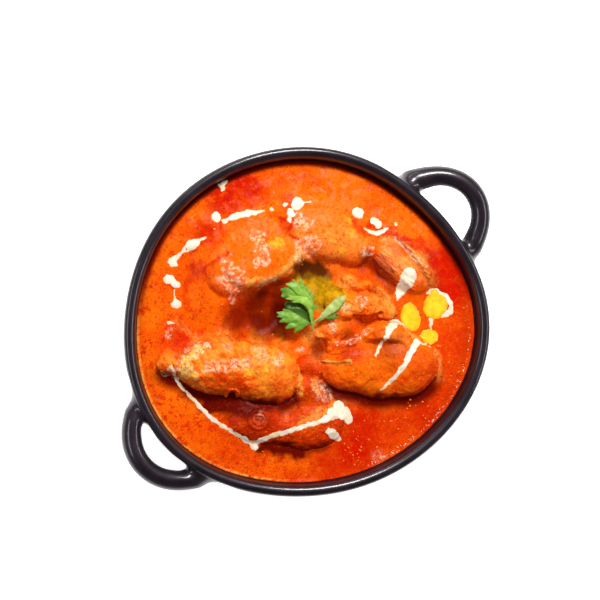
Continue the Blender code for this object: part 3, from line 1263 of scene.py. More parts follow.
@dataclass(frozen=True)
class Lobe:
    """A rounded muscle: its middle, half sizes and the heading of its length."""

    x: float
    y: float
    z: float
    half_length: float
    half_width: float
    half_height: float
    heading: float
    pitch: float = 0.0

    def blank(self, rings: int = 4) -> bpy.types.Object:
        """Start the lobe as a stretched ball at its place.

        Args:
            rings: how finely the ball is divided.

        Returns:
            The ball.
        """
        let_go()
        bpy.ops.mesh.primitive_ico_sphere_add(
            subdivisions=rings,
            radius=1,
            location=Vector((self.x, self.y, self.z)) * MM,
            rotation=(0, math.radians(self.pitch), math.radians(self.heading)),
            scale=(self.half_length * MM, self.half_width * MM, self.half_height * MM),
        )
        return bpy.context.object

    def reach(self, points: np.ndarray) -> tuple[np.ndarray, np.ndarray, np.ndarray]:
        """How far points are from the lobe, seen from above.

        Args:
            points: places in millimetres.

        Returns:
            The share of its outline, the gap to that outline, and how far towards the far
            side of the dish each point is, from -1 to 1.
        """
        dx, dy = points[:, 0] - self.x, points[:, 1] - self.y
        turn = math.radians(self.heading)
        along = (dx * math.cos(turn) + dy * math.sin(turn)) / self.half_length
        across = (dy * math.cos(turn) - dx * math.sin(turn)) / self.half_width
        share = np.hypot(along, across)
        away = np.hypot(dx, dy)
        far = math.radians(FAR_HEADING)
        lean = (dx * math.cos(far) + dy * math.sin(far)) / np.maximum(away, 0.01)
        return share, away * (1 - 1 / np.maximum(share, 0.05)), lean

    def on_top(self, along: float, across: float) -> tuple[float, float, float]:
        """Find a place on the lobe's upper side.

        Args:
            along: the share of its half length.
            across: the share of its half width.

        Returns:
            The place.
        """
        turn = math.radians(self.heading)
        u, v = along * self.half_length, across * self.half_width
        up = math.sqrt(max(0.0, 1 - along * along - across * across))
        return (
            self.x + u * math.cos(turn) - v * math.sin(turn),
            self.y + u * math.sin(turn) + v * math.cos(turn),
            self.z + up * self.half_height,
        )


@dataclass(frozen=True)
class ChickenPiece:
    """One piece of chicken: its lobes, and how torn, lumpy and deep in gravy it is."""

    node: str
    lobes: tuple[Lobe, ...]
    knobs: int = 10
    knob_size: float = 3.2
    strands: int = 0
    heap: float = 2.0
    heap_reach: float = 4.0
    coat: float = -1.2
    # lee, lee_reach and lee_top: strength, width and height of the painted shade under the near side.
    lee: float = 0.8
    lee_reach: float = 5.0
    lee_top: float = 4.0
    veil: float = 0.5
    table: float = 2.0
    # turn, crown and side: crown is painted light on slopes facing the far side past the turn, side is
    # their painted shade; both also vary at random.
    turn: float = 0.3
    crown: Colour = (1.0, 0.2, 0.005)
    side: Colour = (0.93, 0.1, 0.0015)
    lumps: float = 1.3
    cut: float = 1.15
    worn: int = 7
    fibre_depth: float = 0.0
    fibre_heading: float = 0.0
    folds: tuple[tuple[Streak | Patch, float], ...] = ()
    bits: tuple[Lobe, ...] = ()
    seed: int = 1

    def small_lobes(self) -> list[Lobe]:
        """Scatter knobs of flesh and, on torn pieces, chains of thin lobes that make strands.

        Returns:
            The knobs and the links of the strands.
        """
        rng = random.Random(self.seed)
        made = []
        for _ in range(self.knobs):
            lobe = rng.choice(self.lobes)
            spot = lobe.on_top(rng.uniform(-0.75, 0.75), rng.uniform(-0.6, 0.6))
            size = self.knob_size * rng.uniform(0.55, 1.15)
            heading = lobe.heading + rng.uniform(-30, 30)
            sunk = spot[2] - size * 0.45
            made.append(Lobe(spot[0], spot[1], sunk, size * 1.5, size, size * 0.75, heading))
        for _ in range(self.strands):
            lobe = rng.choice(self.lobes)
            across = rng.uniform(-0.75, 0.75)
            first = rng.uniform(-0.85, 0.0)
            links = rng.randint(3, 6)
            thick = rng.uniform(0.55, 1.0)
            for link in range(links):
                along = first + link * 0.2
                spot = lobe.on_top(along, across)
                after = lobe.on_top(along + 0.02, across)
                run = math.hypot(after[0] - spot[0], after[1] - spot[1])
                pitch = -math.degrees(math.atan2(after[2] - spot[2], max(run, 0.001)))
                length = lobe.half_length * 0.2
                made.append(Lobe(*spot, length, thick, thick, lobe.heading, pitch))
                across += rng.uniform(-0.05, 0.05)
        return made

    def build(self) -> bpy.types.Object:
        """Fuse the lobes and work the surface down to its grain.

        Returns:
            The piece, not yet dressed.
        """
        blanks = [lobe.blank() for lobe in self.lobes + self.bits]
        blanks += [lobe.blank(2) for lobe in self.small_lobes()]
        piece = fuse(blanks, self.node.replace("chicken_", "chicken_piece_"))
        shape(piece, "REMESH", mode="VOXEL", voxel_size=self.cut * MM, use_smooth_shade=True)
        shape(piece, "SMOOTH", iterations=self.worn, factor=0.7)
        shape(piece, "SUBSURF", levels=2, render_levels=2)
        roughen(piece, 8.0, self.lumps)
        roughen(piece, 3.0, self.lumps * 0.42)
        roughen(piece, 1.3, self.lumps * 0.2)
        if self.fibre_depth:
            roughen(piece, 1.0, self.fibre_depth, along=(self.fibre_heading, 8))
        points, slope = points_of(piece), normals_of(piece)
        for fold, depth in self.folds:
            points += slope * (depth * fold.over(points) * (slope[:, 2] > -0.2))[:, None]
        set_points(piece, points)
        roughen(piece, 0.6, 0.12)
        beading = group_of(piece, "beading", share_of(STIRRED_IN["wet"], points))
        roughen(piece, 1.8, 0.55, group=beading)
        piece["stands_for"] = self.node
        return piece


def ring(x: float, y: float, radius: float) -> tuple[Place, ...]:
    """A closed round line of places.

    Args:
        x: its middle.
        y: its middle.
        radius: its radius.

    Returns:
        Its places.
    """
    turns = [math.pi / 8 * step for step in range(17)]
    return tuple((x + radius * math.cos(turn), y + radius * math.sin(turn)) for turn in turns)


def threads(places: tuple[tuple[float, ...], ...]) -> tuple[Lobe, ...]:
    """Thin torn threads of flesh.

    Args:
        places: the middle, half length, heading and pitch of each.

    Returns:
        Their lobes.
    """
    made = []
    for x, y, z, length, heading, pitch in places:
        made.append(Lobe(x, y, z - 0.5, length, 0.62, 0.8, heading, pitch))
    return tuple(made)


PIECES = (
    ChickenPiece(
        "chicken_front_left",
        (
            Lobe(-44.0, 10.3, 46.5, 23.0, 14.3, 10.0, -44),
            Lobe(-31.5, -5.0, 46.0, 19.5, 14.6, 10.0, -51), Lobe(-57.0, 23.0, 44.5, 12.5, 8.0, 7.0, -44),
        ),
        knobs=12, knob_size=3.4, heap=0.8, heap_reach=3, coat=-1.6, lee=1.1, lee_reach=6.5, lumps=1.9,
        worn=5, seed=5, turn=0.22, crown=(1.0, 0.28, 0.018), side=(0.8, 0.05, 0.0008),
        folds=(
            (Streak(((-28, 20), (-32, 14), (-34, 9)), 2.6), -1.3),
            (Streak(ring(-48.8, -3.6, 2.6), 0.8), 0.7), (Patch(-48.8, -3.6, 1.7), -1.6),
            (Streak(((-50, -7), (-44, -11), (-38, -14)), 1.4), 0.6),
            (Streak(((-57, 17), (-47, 8), (-38, -1), (-28, -9)), 3.0), 0.5), (Patch(-24, -2, 5.0), 0.8),
            (Patch(-38, -4, 4.0), -0.6), (Patch(-56, 14, 4.0), -0.6),
        ),
    ),
    ChickenPiece(
        "chicken_front_right",
        (
            Lobe(8.5, -32.8, 46.0, 21.0, 13.0, 9.0, -34), Lobe(24.0, -45.0, 45.5, 18.5, 15.7, 9.8, -39),
            Lobe(26.5, -29.5, 46.0, 13.0, 7.5, 8.5, -29), Lobe(12.0, -43.5, 45.2, 16.0, 10.0, 7.6, -38),
        ),
        knobs=5, knob_size=3.4, heap=1.0, heap_reach=4, coat=-1.4, lee=1.1, lee_reach=6.0, lumps=1.3,
        seed=7, turn=0.5, crown=(1.0, 0.18, 0.0035), side=(0.95, 0.08, 0.0012),
        folds=(
            (Streak(((-5, -18.2), (-1, -22.2), (4.2, -25.8)), 0.9), 1.2),
            (Streak(((-4.5, -16.5), (0, -20.5), (6, -23.2)), 1.5), -1.5),
            (Streak(((5, -17), (13, -20.5), (21, -21.5), (30, -22.5)), 1.6), 1.3),
            (Streak(((9, -24), (15, -27.5), (22, -33), (26, -38)), 3.6), -2.6),
            (Streak(((36, -36), (39.5, -44), (39, -53), (34, -60)), 1.2), 0.6),
        ),
    ),
    ChickenPiece(
        "chicken_back_left",
        (
            Lobe(-0.4, 37.4, 45.5, 17.5, 11.9, 9.0, -14), Lobe(9.0, 31.6, 45.0, 12.0, 9.8, 8.5, -49),
            Lobe(-12.5, 40.3, 43.5, 13.0, 10.4, 6.4, -18),
        ),
        knobs=6, knob_size=3.2, heap=6.0, heap_reach=15, coat=0.0, lee=0.9, lee_reach=7.0, lee_top=0.6,
        veil=1.7, lumps=1.3, table=2.6, worn=8, seed=11, crown=(1.0, 0.23, 0.006),
        side=(0.92, 0.085, 0.0015),
        folds=(
            (Streak(((14, 27), (2, 26.8), (-8, 30)), 1.6), 0.7), (Patch(3, 44, 3.5), 0.5),
            (Patch(-14, 39, 3.5), 0.6), (Streak(((8, 40), (10, 35), (13, 32)), 1.2), -0.6),
        ),
    ),
    ChickenPiece(
        "chicken_back",
        (
            Lobe(34.5, 27.0, 44.5, 19.0, 12.5, 8.0, -54), Lobe(40.5, 14.5, 44.5, 10.0, 9.0, 7.6, -54),
            Lobe(26.5, 39.0, 44.0, 10.0, 9.0, 7.0, -39),
        ),
        knobs=6, knob_size=3.0, heap=5.5, heap_reach=13, coat=0.0, lee=0.5, lee_reach=3.5, lee_top=0.8,
        veil=1.7, lumps=1.3, table=2.6, worn=8, seed=13, crown=(1.0, 0.29, 0.02),
        side=(0.95, 0.12, 0.003),
        folds=(
            (Streak(((30, 12.5), (36, 8), (42, 6.5)), 1.4), 0.6),
            (Streak(((24, 32), (27, 26), (32, 21)), 1.8), -0.5), (Patch(33, 21, 3.0), 0.4),
        ),
    ),
    ChickenPiece(
        "chicken_right",
        (Lobe(53.5, -7.0, 44.0, 18.0, 9.8, 7.4, -82), Lobe(60.0, -9.0, 44.0, 17.0, 6.0, 6.6, -86)),
        knobs=2, knob_size=2.0, strands=22, heap=4.5, heap_reach=9, coat=-0.5, lee=0.25, veil=1.4,
        lumps=1.0, table=2.6, crown=(1.0, 0.33, 0.09), side=(0.93, 0.12, 0.008), cut=0.9, worn=2,
        fibre_depth=0.9, fibre_heading=-76, seed=17,
        folds=(
            (Streak(((56, 11), (61.5, 3), (62, -8), (61, -20)), 1.1), 0.9),
            (Streak(((54, 8), (58.5, 1), (58.5, -10), (57, -20)), 1.3), -0.8),
        ),
    ),
    ChickenPiece(
        "chicken_centre",
        (
            Lobe(19.5, -5.0, 44.0, 10.0, 8.5, 7.6, -59), Lobe(28.0, -11.5, 44.4, 8.8, 7.8, 7.8, -60),
            Lobe(34.5, -17.0, 44.0, 9.0, 5.5, 6.4, -90), Lobe(7.5, -10.5, 44.0, 10.0, 7.0, 5.6, -20),
        ),
        knobs=34, knob_size=1.9, strands=10, heap=3.4, heap_reach=7, coat=-0.3, lee=0.6, lee_reach=3.0,
        veil=1.0, lumps=2.2, worn=3, cut=0.95, crown=(1.0, 0.2, 0.006), side=(0.9, 0.08, 0.0015),
        fibre_depth=0.45, fibre_heading=-68, seed=19,
        folds=((Streak(((20, -12), (25, -17), (31, -19)), 1.0), -1.2), (Patch(-0.5, -12, 2.2), -2.2)),
        bits=(
            Lobe(29.5, 2.5, 45.0, 5.0, 3.8, 5.2, -60), Lobe(35.5, -5.0, 45.0, 6.0, 2.6, 5.4, -72),
            Lobe(38.0, -13.0, 45.0, 6.5, 2.2, 5.6, -80), Lobe(32.0, -3.0, 45.5, 4.0, 3.0, 5.0, -30),
            Lobe(24.0, 2.5, 44.5, 4.5, 3.0, 5.0, -50), Lobe(3.5, -17.0, 45.0, 5.0, 3.0, 4.4, 10),
        ),
    ),
    ChickenPiece(
        "chicken_front_centre",
        (
            Lobe(-46.4, -21.2, 42.0, 18.0, 13.2, 8.3, -54),
            Lobe(-27.4, -39.6, 42.0, 19.0, 13.4, 8.8, -24), Lobe(-38.0, -33.0, 42.0, 14.0, 9.5, 8.2, -42),
            Lobe(-19.0, -25.0, 43.0, 10.0, 8.0, 6.8, -39),
        ),
        # Its darker crown and side colours are partly painted shade from the piece behind it, partly its
        # browner coat.
        knobs=5, knob_size=3.2, strands=3, heap=2.6, heap_reach=7, coat=-0.4, lee=1.35, lee_reach=4.0,
        veil=0.6, lumps=1.4, crown=(0.7, 0.055, 0.001), side=(0.5, 0.022, 0.0006), fibre_depth=0.2,
        fibre_heading=-40, seed=23,
        folds=(
            (Streak(ring(-46.5, -20.5, 4.4), 0.8), 0.6), (Streak(ring(-46.5, -20.5, 2.4), 0.6), 0.3),
            (Patch(-46.5, -20.5, 1.4), -1.1),
        ),
        bits=(
            Lobe(-11.0, -18.0, 44.5, 9.0, 6.5, 5.0, -60), Lobe(-19.0, -27.0, 44.5, 9.0, 7.0, 4.4, 60),
            *threads((
                (-21.6, -19.0, 50.2, 4.6, 44, 6), (-20.6, -20.6, 50.4, 5.4, 52, -4),
                (-19.6, -22.0, 50.0, 4.2, 60, 5), (-22.6, -21.8, 49.8, 3.2, 80, 0),
                (-17.4, -25.6, 49.9, 4.6, 66, -6), (-16.2, -26.8, 50.1, 5.0, 58, 4),
                (-15.2, -28.4, 49.8, 3.8, 74, 0), (-18.2, -29.0, 49.7, 3.4, 30, 5),
                (-14.2, -31.6, 49.4, 4.2, 40, -4), (-13.4, -33.4, 49.0, 3.2, 24, 0),
                (-12.4, -15.6, 48.8, 3.6, 24, 5), (-9.6, -18.4, 48.6, 3.8, 78, -5),
                (-13.6, -20.6, 48.9, 3.4, 50, 0), (-7.6, -21.6, 48.2, 3.2, 96, 4),
            )),
        ),
    ),
)


@dataclass
class Chicken:
    """The seven pieces that stand out of the gravy."""

    pieces: tuple[ChickenPiece, ...] = PIECES
    made: list[bpy.types.Object] = field(default_factory=list)

    def build(self) -> None:
        """Model every piece."""
        self.made = [piece.build() for piece in self.pieces]

    def dress(self) -> None:
        """Coat every piece in gravy and put it in the dish."""
        for piece, obj in zip(self.pieces, self.made):
            coat = CurryCoat(
                f"coat_{piece.node}",
                body=piece.side,
                light=piece.crown,
                peppered=0.55,
                patchy=0.5,
                grain=0.12,
                fibre_heading=piece.fibre_heading,
                fibre_depth=piece.fibre_depth * 0.45,
            )
            serve(obj, coat.make(), Slot.CHICKEN, piece.node)


# ---------------------------------------------------------------------------------------------
# The gravy
# ---------------------------------------------------------------------------------------------


@dataclass
class Gravy:
    """The gravy: one body down to the bowl's floor, climbing the wall and the chicken."""

    cells: int = 280
    tuck: float = 0.25
    meniscus: float = 0.9
    ripples: tuple[tuple[float, float], ...] = ((5.0, 0.42), (1.8, 0.2), (0.8, 0.1))
    hollows: tuple[tuple[Patch | Streak, float], ...] = (
        (Patch(-14, 14, 11), 6.0),
        (Patch(-25, 21, 8), 4.0),
        (Patch(-4, 9, 7), 3.0),
        (Patch(16, 13, 8), 3.4),
        (Patch(43, -2, 6), 2.0),
        (Patch(-23, 36, 13), -3.0),
        (Streak(((14, 27.4), (4, 27.0), (-5, 30), (-12, 32.5)), 1.6), -0.9),
    )
    floor: tuple[Place, ...] = (
        (79.0, 44.2), (78.9, 43.4), (77.0, 37.8), (72.5, 28.9), (65.2, 20.1), (55.2, 12.5), (43.8, 8.5),
        (30, 6.9),
    )
    made: bpy.types.Object | None = None

    def disc(self) -> bpy.types.Object:
        """Lay a fine grid and pull it round to the bowl's inner outline.

        Returns:
            The disc, level all over.
        """
        let_go()
        bpy.ops.mesh.primitive_grid_add(x_subdivisions=self.cells, y_subdivisions=self.cells, size=2 * MM)
        obj = bpy.context.object
        obj.name = "curry_gravy_top"
        square = points_of(obj)
        a, b = square[:, 0], square[:, 1]
        wide = np.abs(a) > np.abs(b)
        radius = np.where(wide, a, b)
        safe_a, safe_b = np.where(a == 0, 1e-9, a), np.where(b == 0, 1e-9, b)
        angle = np.where(wide, math.pi / 4 * b / safe_a, math.pi / 2 - math.pi / 4 * a / safe_b)
        x, y = radius * np.cos(angle), radius * np.sin(angle)
        around = np.arctan2(y, x)
        reach = np.hypot(x, y) * (GRAVY_RADIUS + self.tuck + LIP_RADIUS * wave(around))
        level = np.full(len(a), GRAVY_LEVEL)
        set_points(obj, np.stack([reach * np.cos(around), reach * np.sin(around), level], 1))
        return obj

    def heights(self, points: np.ndarray) -> np.ndarray:
        """Work out the slow swells and the climb to the wall and up the chicken.

        Args:
            points: places on the level disc in millimetres.

        Returns:
            The gravy's height at each.
        """
        _, gap = wall_gap(points)
        ragged = 1 + 0.6 * cloudy(points, 9, 5.0, 2)
        height = GRAVY_LEVEL + 0.55 * cloudy(points, 24, 1.0, 2)
        height += self.meniscus * ragged * np.exp(-((np.maximum(gap, 0) / 1.6) ** 1.3))
        stir = 1 + 0.35 * cloudy(points, 8, 9.0, 2)
        for piece in PIECES:
            climb = np.zeros(len(points))
            body = np.full(len(points), -50.0)
            for lobe in piece.lobes:
                share, off, lean = lobe.reach(points)
                side = smooth_step(0.5 + 0.75 * lean)
                cover = smooth_step(piece.veil + 0.75 * lean)
                top = 0.5 + (piece.heap - 0.5) * side
                run = (1.4 + (piece.heap_reach - 1.4) * side) * stir
                climb = np.maximum(climb, top * np.exp(-((np.maximum(off, 0) / run) ** 1.5)))
                bulge = np.clip(1 - share**piece.table, 0, 1) ** (1 / piece.table)
                crown = lobe.z + lobe.half_height * bulge
                coat = -2.6 + (piece.coat + 2.6) * cover
                body = np.maximum(body, np.where(share < 1, crown + coat, -50.0))
            height = merge(height, GRAVY_LEVEL - 0.6 + climb, 1.6)
            height = merge(height, body, 2.2)
        for patch, depth in self.hollows:
            height -= depth * patch.over(points)
        return height

    def build(self) -> None:
        """Model the surface, then the body below it."""
        obj = self.disc()
        points = points_of(obj)
        points[:, 2] = self.heights(points)
        set_points(obj, points)
        shape(obj, "SMOOTH", iterations=3, factor=0.5)
        reach = np.hypot(points[:, 0], points[:, 1])
        edge = reach / (wall_gap(points)[1] + reach)
        inside = group_of(obj, "inside", smooth_step((1.0 - edge) * 30))
        for grain, depth in self.ripples:
            texture = bpy.data.textures.new("ripple", "CLOUDS")
            texture.noise_scale, texture.noise_depth = grain * MM, 2
            settings = {"texture_coords": "LOCAL", "direction": "Z", "mid_level": 0.5}
            shape(obj, "DISPLACE", texture=texture, strength=depth * MM, vertex_group=inside, **settings)
            bpy.data.textures.remove(texture)
        beaded = share_of(STIRRED_IN["wet"], points) * (edge < 0.97)
        roughen(obj, 1.9, 0.9, group=group_of(obj, "beading", beaded))
        self.close_below(obj)
        obj.name = "gravy"
        obj["stands_for"] = "curry_gravy"
        self.made = obj

    def close_below(self, obj: bpy.types.Object) -> None:
        """Draw the surface's edge down the bowl's inner wall and across its floor.

        Args:
            obj: the gravy's surface.
        """
        take(obj)
        bpy.ops.object.mode_set(mode="EDIT")
        bpy.ops.mesh.select_mode(type="EDGE")
        bpy.ops.mesh.select_all(action="DESELECT")
        bpy.ops.mesh.select_non_manifold()
        for radius, height in self.floor:
            bpy.ops.mesh.extrude_edges_move(TRANSFORM_OT_translate={"value": (0, 0, 0)})
            bpy.ops.object.mode_set(mode="OBJECT")
            picked = np.empty(len(obj.data.vertices), bool)
            obj.data.vertices.foreach_get("select", picked)
            points = points_of(obj)
            around = np.arctan2(points[picked, 1], points[picked, 0])
            reach = radius + LIP_RADIUS * float(sway(np.array(height))) * wave(around)
            level = np.full(len(around), height)
            points[picked] = np.stack([reach * np.cos(around), reach * np.sin(around), level], 1)
            set_points(obj, points)
            bpy.ops.object.mode_set(mode="EDIT")
        bpy.ops.mesh.extrude_edges_move(TRANSFORM_OT_translate={"value": (0, 0, 0)})
        bpy.ops.mesh.merge(type="CENTER")
        bpy.ops.mesh.select_mode(type="VERT")
        face_outward(obj)

    def dress(self) -> None:
        """Finish the gravy and put it in the dish."""
        serve(self.made, CurryCoat("curry_gravy").make(), Slot.GRAVY, "curry_gravy")


def merge(first: np.ndarray, last: np.ndarray, blend: float) -> np.ndarray:
    """The higher of two heights, with the crease between them filled.

    Args:
        first: some heights in millimetres.
        last: other heights at the same points.
        blend: how wide the fill is.

    Returns:
        The filled heights.
    """
    close = np.maximum(blend - np.abs(first - last), 0) / blend
    return np.maximum(first, last) + close * close * blend / 4


class Surface:
    """The top of the curry as a relief map, for what lies on it."""

    step: float = 0.6
    half: float = 90.0
    reach: float = 82.0

    def __init__(self, objects: list[bpy.types.Object]) -> None:
        """Feel for the top of the curry from above.

        Args:
            objects: the gravy and the chicken.
        """
        graph = bpy.context.evaluated_depsgraph_get()
        trees = [BVHTree.FromObject(obj, graph) for obj in objects]
        self.count = int(2 * self.half / self.step) + 1
        self.map = np.full((self.count, self.count), GRAVY_LEVEL)
        down = Vector((0, 0, -1))
        for i in range(self.count):
            for j in range(self.count):
                x, y = i * self.step - self.half, j * self.step - self.half
                if x * x + y * y > self.reach**2:
                    continue
                start = Vector((x * MM, y * MM, 0.1))
                hits = [tree.ray_cast(start, down)[0] for tree in trees]
                found = [hit.z for hit in hits if hit is not None]
                if found:
                    self.map[i, j] = max(found) / MM

    def at(self, points: np.ndarray) -> np.ndarray:
        """Read the curry's height.

        Args:
            points: places in millimetres.

        Returns:
            The height under each.
        """
        u = np.clip((points[:, 0] + self.half) / self.step, 0, self.count - 2)
        v = np.clip((points[:, 1] + self.half) / self.step, 0, self.count - 2)
        i, j = u.astype(int), v.astype(int)
        s, t = u - i, v - j
        return (
            self.map[i, j] * (1 - s) * (1 - t)
            + self.map[i + 1, j] * s * (1 - t)
            + self.map[i, j + 1] * (1 - s) * t
            + self.map[i + 1, j + 1] * s * t
        )


# ---------------------------------------------------------------------------------------------
# Cream and butter
# ---------------------------------------------------------------------------------------------


@dataclass(frozen=True)
class Trail:
    """A trail from the spoon: its points and its half width at each."""

    line: tuple[tuple[float, float, float], ...]

    def blank(self) -> bpy.types.Object:
        """Draw the trail as a soft round tube lying flat, tapered as its points say.

        Returns:
            The tube, as a mesh.
        """
        let_go()
        bpy.ops.curve.primitive_nurbs_path_add()
        obj = bpy.context.object
        obj.data.splines.clear()
        spline = obj.data.splines.new("NURBS")
        spline.points.add(len(self.line) - 1)
        for point, (x, y, half) in zip(spline.points, self.line):
            point.co = (x * MM, y * MM, 0, 1)
            point.radius = half
        spline.order_u = 3
        spline.use_endpoint_u = True
        spline.resolution_u = 12
        obj.data.bevel_depth = 1 * MM
        obj.data.bevel_resolution = 4
        obj.data.use_fill_caps = True
        obj.location = (0, 0, 0)
        take(obj)
        bpy.ops.object.convert(target="MESH")
        return bpy.context.object


@dataclass(frozen=True)
class Blob:
    """A drop that has settled: its middle, half length, half width and heading."""

    x: float
    y: float
    half_length: float
    half_width: float
    heading: float = 0.0

    def blank(self) -> bpy.types.Object:
        """A flat round drop lying at height nought."""
        thick = min(self.half_length, self.half_width, 2.2)
        return Lobe(self.x, self.y, 0, self.half_length, self.half_width, thick, self.heading).blank(3)


@dataclass
class Topping:
    """Something poured over the curry that has settled into its hollows."""

    name: str
    finish: PlainCoat
    slot: Slot
    poured: tuple[Trail | Blob, ...]
    swell: float = 0.18
    sink: float = 0.03
    ragged: float = 0.7
    grain: float = 0.28
    fade: float = 0.22

    def build(self, surface: Surface) -> None:
        """Lay everything on the curry, fuse what touches, and dress it.

        Args:
            surface: the top of the curry.
        """
        obj = fuse([item.blank() for item in self.poured], self.name)
        shape(obj, "REMESH", mode="VOXEL", voxel_size=self.grain * MM, use_smooth_shade=True)
        points = points_of(obj)
        points[:, 0] += self.ragged * cloudy(points, 2.2, 2.0, 4)
        points[:, 1] += self.ragged * cloudy(points, 2.2, 8.0, 4)
        thickness = points[:, 2] * self.swell
        points[:, 2] = surface.at(points) + thickness - self.sink
        set_points(obj, points)
        shape(obj, "SMOOTH", iterations=6, factor=0.5)
        paint(obj, "thin", smooth_step(1 - (thickness + 0.02) / self.fade))
        serve(obj, self.finish.make(), self.slot)


CREAM = (
    Blob(10.8, 77.0, 2.9, 1.7, 0), Blob(9.4, 75.0, 1.5, 1.6, -40), Blob(-1.7, 66.3, 2.6, 2.3, 40),
    Blob(0.2, 62.4, 1.6, 1.2, -40),
    Trail((
        (1.5, 62.0, 0.7), (4, 61.5, 1.2), (6, 60.6, 2.2), (8.4, 59.7, 1.3), (11, 58.2, 1.9),
        (14, 56.6, 1.0), (18.1, 54.3, 0.6),
    )),
    Blob(20.9, 52.7, 1.1, 0.9), Blob(-6.1, 62.3, 0.6, 0.5),
    Trail((
        (-11.3, 61.9, 0.8), (-15.5, 62.8, 1.0), (-18.6, 63.2, 2.6), (-20.6, 63.4, 2.4),
        (-24.3, 63.4, 0.9), (-27.3, 63.2, 0.9), (-31.3, 62.8, 2.2),
    )),
    Blob(-31.3, 62.0, 2.0, 2.6, 20), Blob(-37.5, 57.2, 3.1, 2.3, -35), Blob(-36.5, 53.6, 2.4, 2.0, -60),
    Trail(((-38.5, 52.0, 0.5), (-40.6, 49.7, 0.4), (-41.6, 47.6, 0.8))), Blob(-42.2, 46.2, 2.7, 2.1, -35),
    Blob(-49.6, 40.8, 2.2, 0.8, -45), Blob(32.3, 47.4, 3.4, 3.0, 20), Blob(27.0, 45.8, 2.6, 1.9, 80),
    Blob(24.6, 43.9, 1.8, 1.2, 60), Blob(27.5, 50.5, 1.0, 1.4, 60),
    Trail(((34.5, 45.8, 0.8), (36.6, 45.2, 0.5), (38.2, 43.6, 0.5))), Blob(52.8, 25.6, 3.2, 2.7, -40),
    Blob(57.0, 17.2, 2.3, 2.0, -70), Blob(57.3, 14.6, 1.7, 2.0, -60),
    Trail(
        ((50.2, 18.5, 0.4), (51.0, 15.6, 0.9), (53.6, 12.4, 1.2), (57.0, 10.8, 1.0), (60.2, 10.6, 0.6)),
    ),
    Blob(64.4, 9.6, 0.7, 1.2, -60), Blob(52.4, -13.6, 4.8, 4.2, 25),
    Trail((
        (52.0, -14.2, 4.0), (48.5, -15.8, 3.4), (45.5, -17.4, 2.3), (43.0, -18.8, 1.0),
        (41.3, -19.6, 0.5),
    )),
    Trail((
        (55.4, -26.0, 0.7), (58.0, -26.6, 1.2), (60.4, -28.6, 1.5), (61.9, -32.3, 1.3),
        (62.6, -36.0, 1.2), (61.2, -39.6, 1.3), (58.2, -40.9, 1.6), (55.1, -39.4, 1.3),
        (53.0, -36.8, 1.2), (50.4, -36.6, 1.1), (47.8, -38.6, 0.9), (46.6, -41.7, 0.6),
    )),
    Trail((
        (15.5, -32.5, 0.8), (21.3, -30.1, 0.8), (26.0, -28.2, 1.1), (29.8, -26.6, 2.1),
        (32.5, -26.4, 1.7), (35.4, -27.3, 1.5), (36.6, -30.5, 0.8), (37.0, -33.0, 0.4),
    )),
    Trail((
        (37.4, -40.2, 1.9), (34.5, -40.6, 1.7), (30.9, -41.6, 1.5), (25.6, -43.5, 1.4),
        (21.0, -44.9, 1.3), (17.3, -45.9, 1.1), (11.9, -46.5, 0.9), (7.1, -46.8, 0.7),
    )),
    Trail(((37.2, -41.6, 0.5), (38.6, -43.6, 0.7), (40.3, -46.6, 0.6), (40.2, -50.0, 0.35))),
    Trail((
        (-62.6, 26.2, 0.9), (-64.1, 20.0, 1.1), (-64.8, 15.1, 0.8), (-64.3, 9.4, 0.7), (-63.9, 2.2, 1.1),
        (-63.1, -6.4, 1.1), (-61.0, -13.5, 0.9), (-58.4, -20.5, 1.0), (-56.0, -26.0, 1.3),
        (-55.6, -29.0, 1.4),
    )),
    Blob(-55.4, -29.2, 2.6, 1.7, 75),
    Trail((
        (-56.0, -28.0, 1.3), (-52.0, -29.2, 1.3), (-48.1, -29.8, 1.1), (-41.9, -32.6, 1.2),
        (-34.9, -35.4, 1.1), (-28.6, -38.1, 1.2), (-21.5, -40.9, 1.5), (-14.5, -43.0, 2.2),
    )),
    Blob(-15.6, -41.0, 3.8, 2.5, -30), Blob(-12.6, -41.2, 3.4, 2.9, 70),
    Blob(-12.6, -45.0, 3.9, 3.3, -80), Blob(-12.6, -48.8, 2.6, 2.0, 30),
    Trail(((-24.3, -45.0, 1.6), (-23.0, -48.3, 2.3), (-22.6, -51.5, 1.9), (-22.1, -54.2, 0.9))),
)


@dataclass
class Toppings:
    """The cream and the melted butter."""

    def build(self, surface: Surface) -> None:
        """Pour each of them.

        Args:
            surface: the top of the curry.
        """
        cream = PlainCoat("cream", (0.93, 0.83, 0.66), (0.94, 0.7, 0.42), (1.0, 0.42, 0.12), 0.3, 0.04)
        Topping("cream_drizzle", cream, Slot.CREAM, CREAM).build(surface)
        butter = PlainCoat(
            "melted_butter", (1.0, 0.66, 0.03), (1.0, 0.52, 0.01), (1.0, 0.3, 0.004), 0.12, 0.02
        )
        pools = (
            Blob(55.3, -33.8, 6.8, 6.0, 20), Blob(57.5, -30.6, 4.6, 3.4, 60),
            Blob(42.0, -30.4, 6.6, 5.0, 70), Blob(43.9, -26.4, 3.2, 3.0), Blob(43.4, -43.3, 4.8, 3.8, -40),
        )
        butter_laid = Topping(
            "melted_butter", butter, Slot.BUTTER, pools, swell=0.2, sink=-0.02, ragged=0.6, fade=0.42
        )
        butter_laid.build(surface)


# ---------------------------------------------------------------------------------------------
# Coriander
# ---------------------------------------------------------------------------------------------


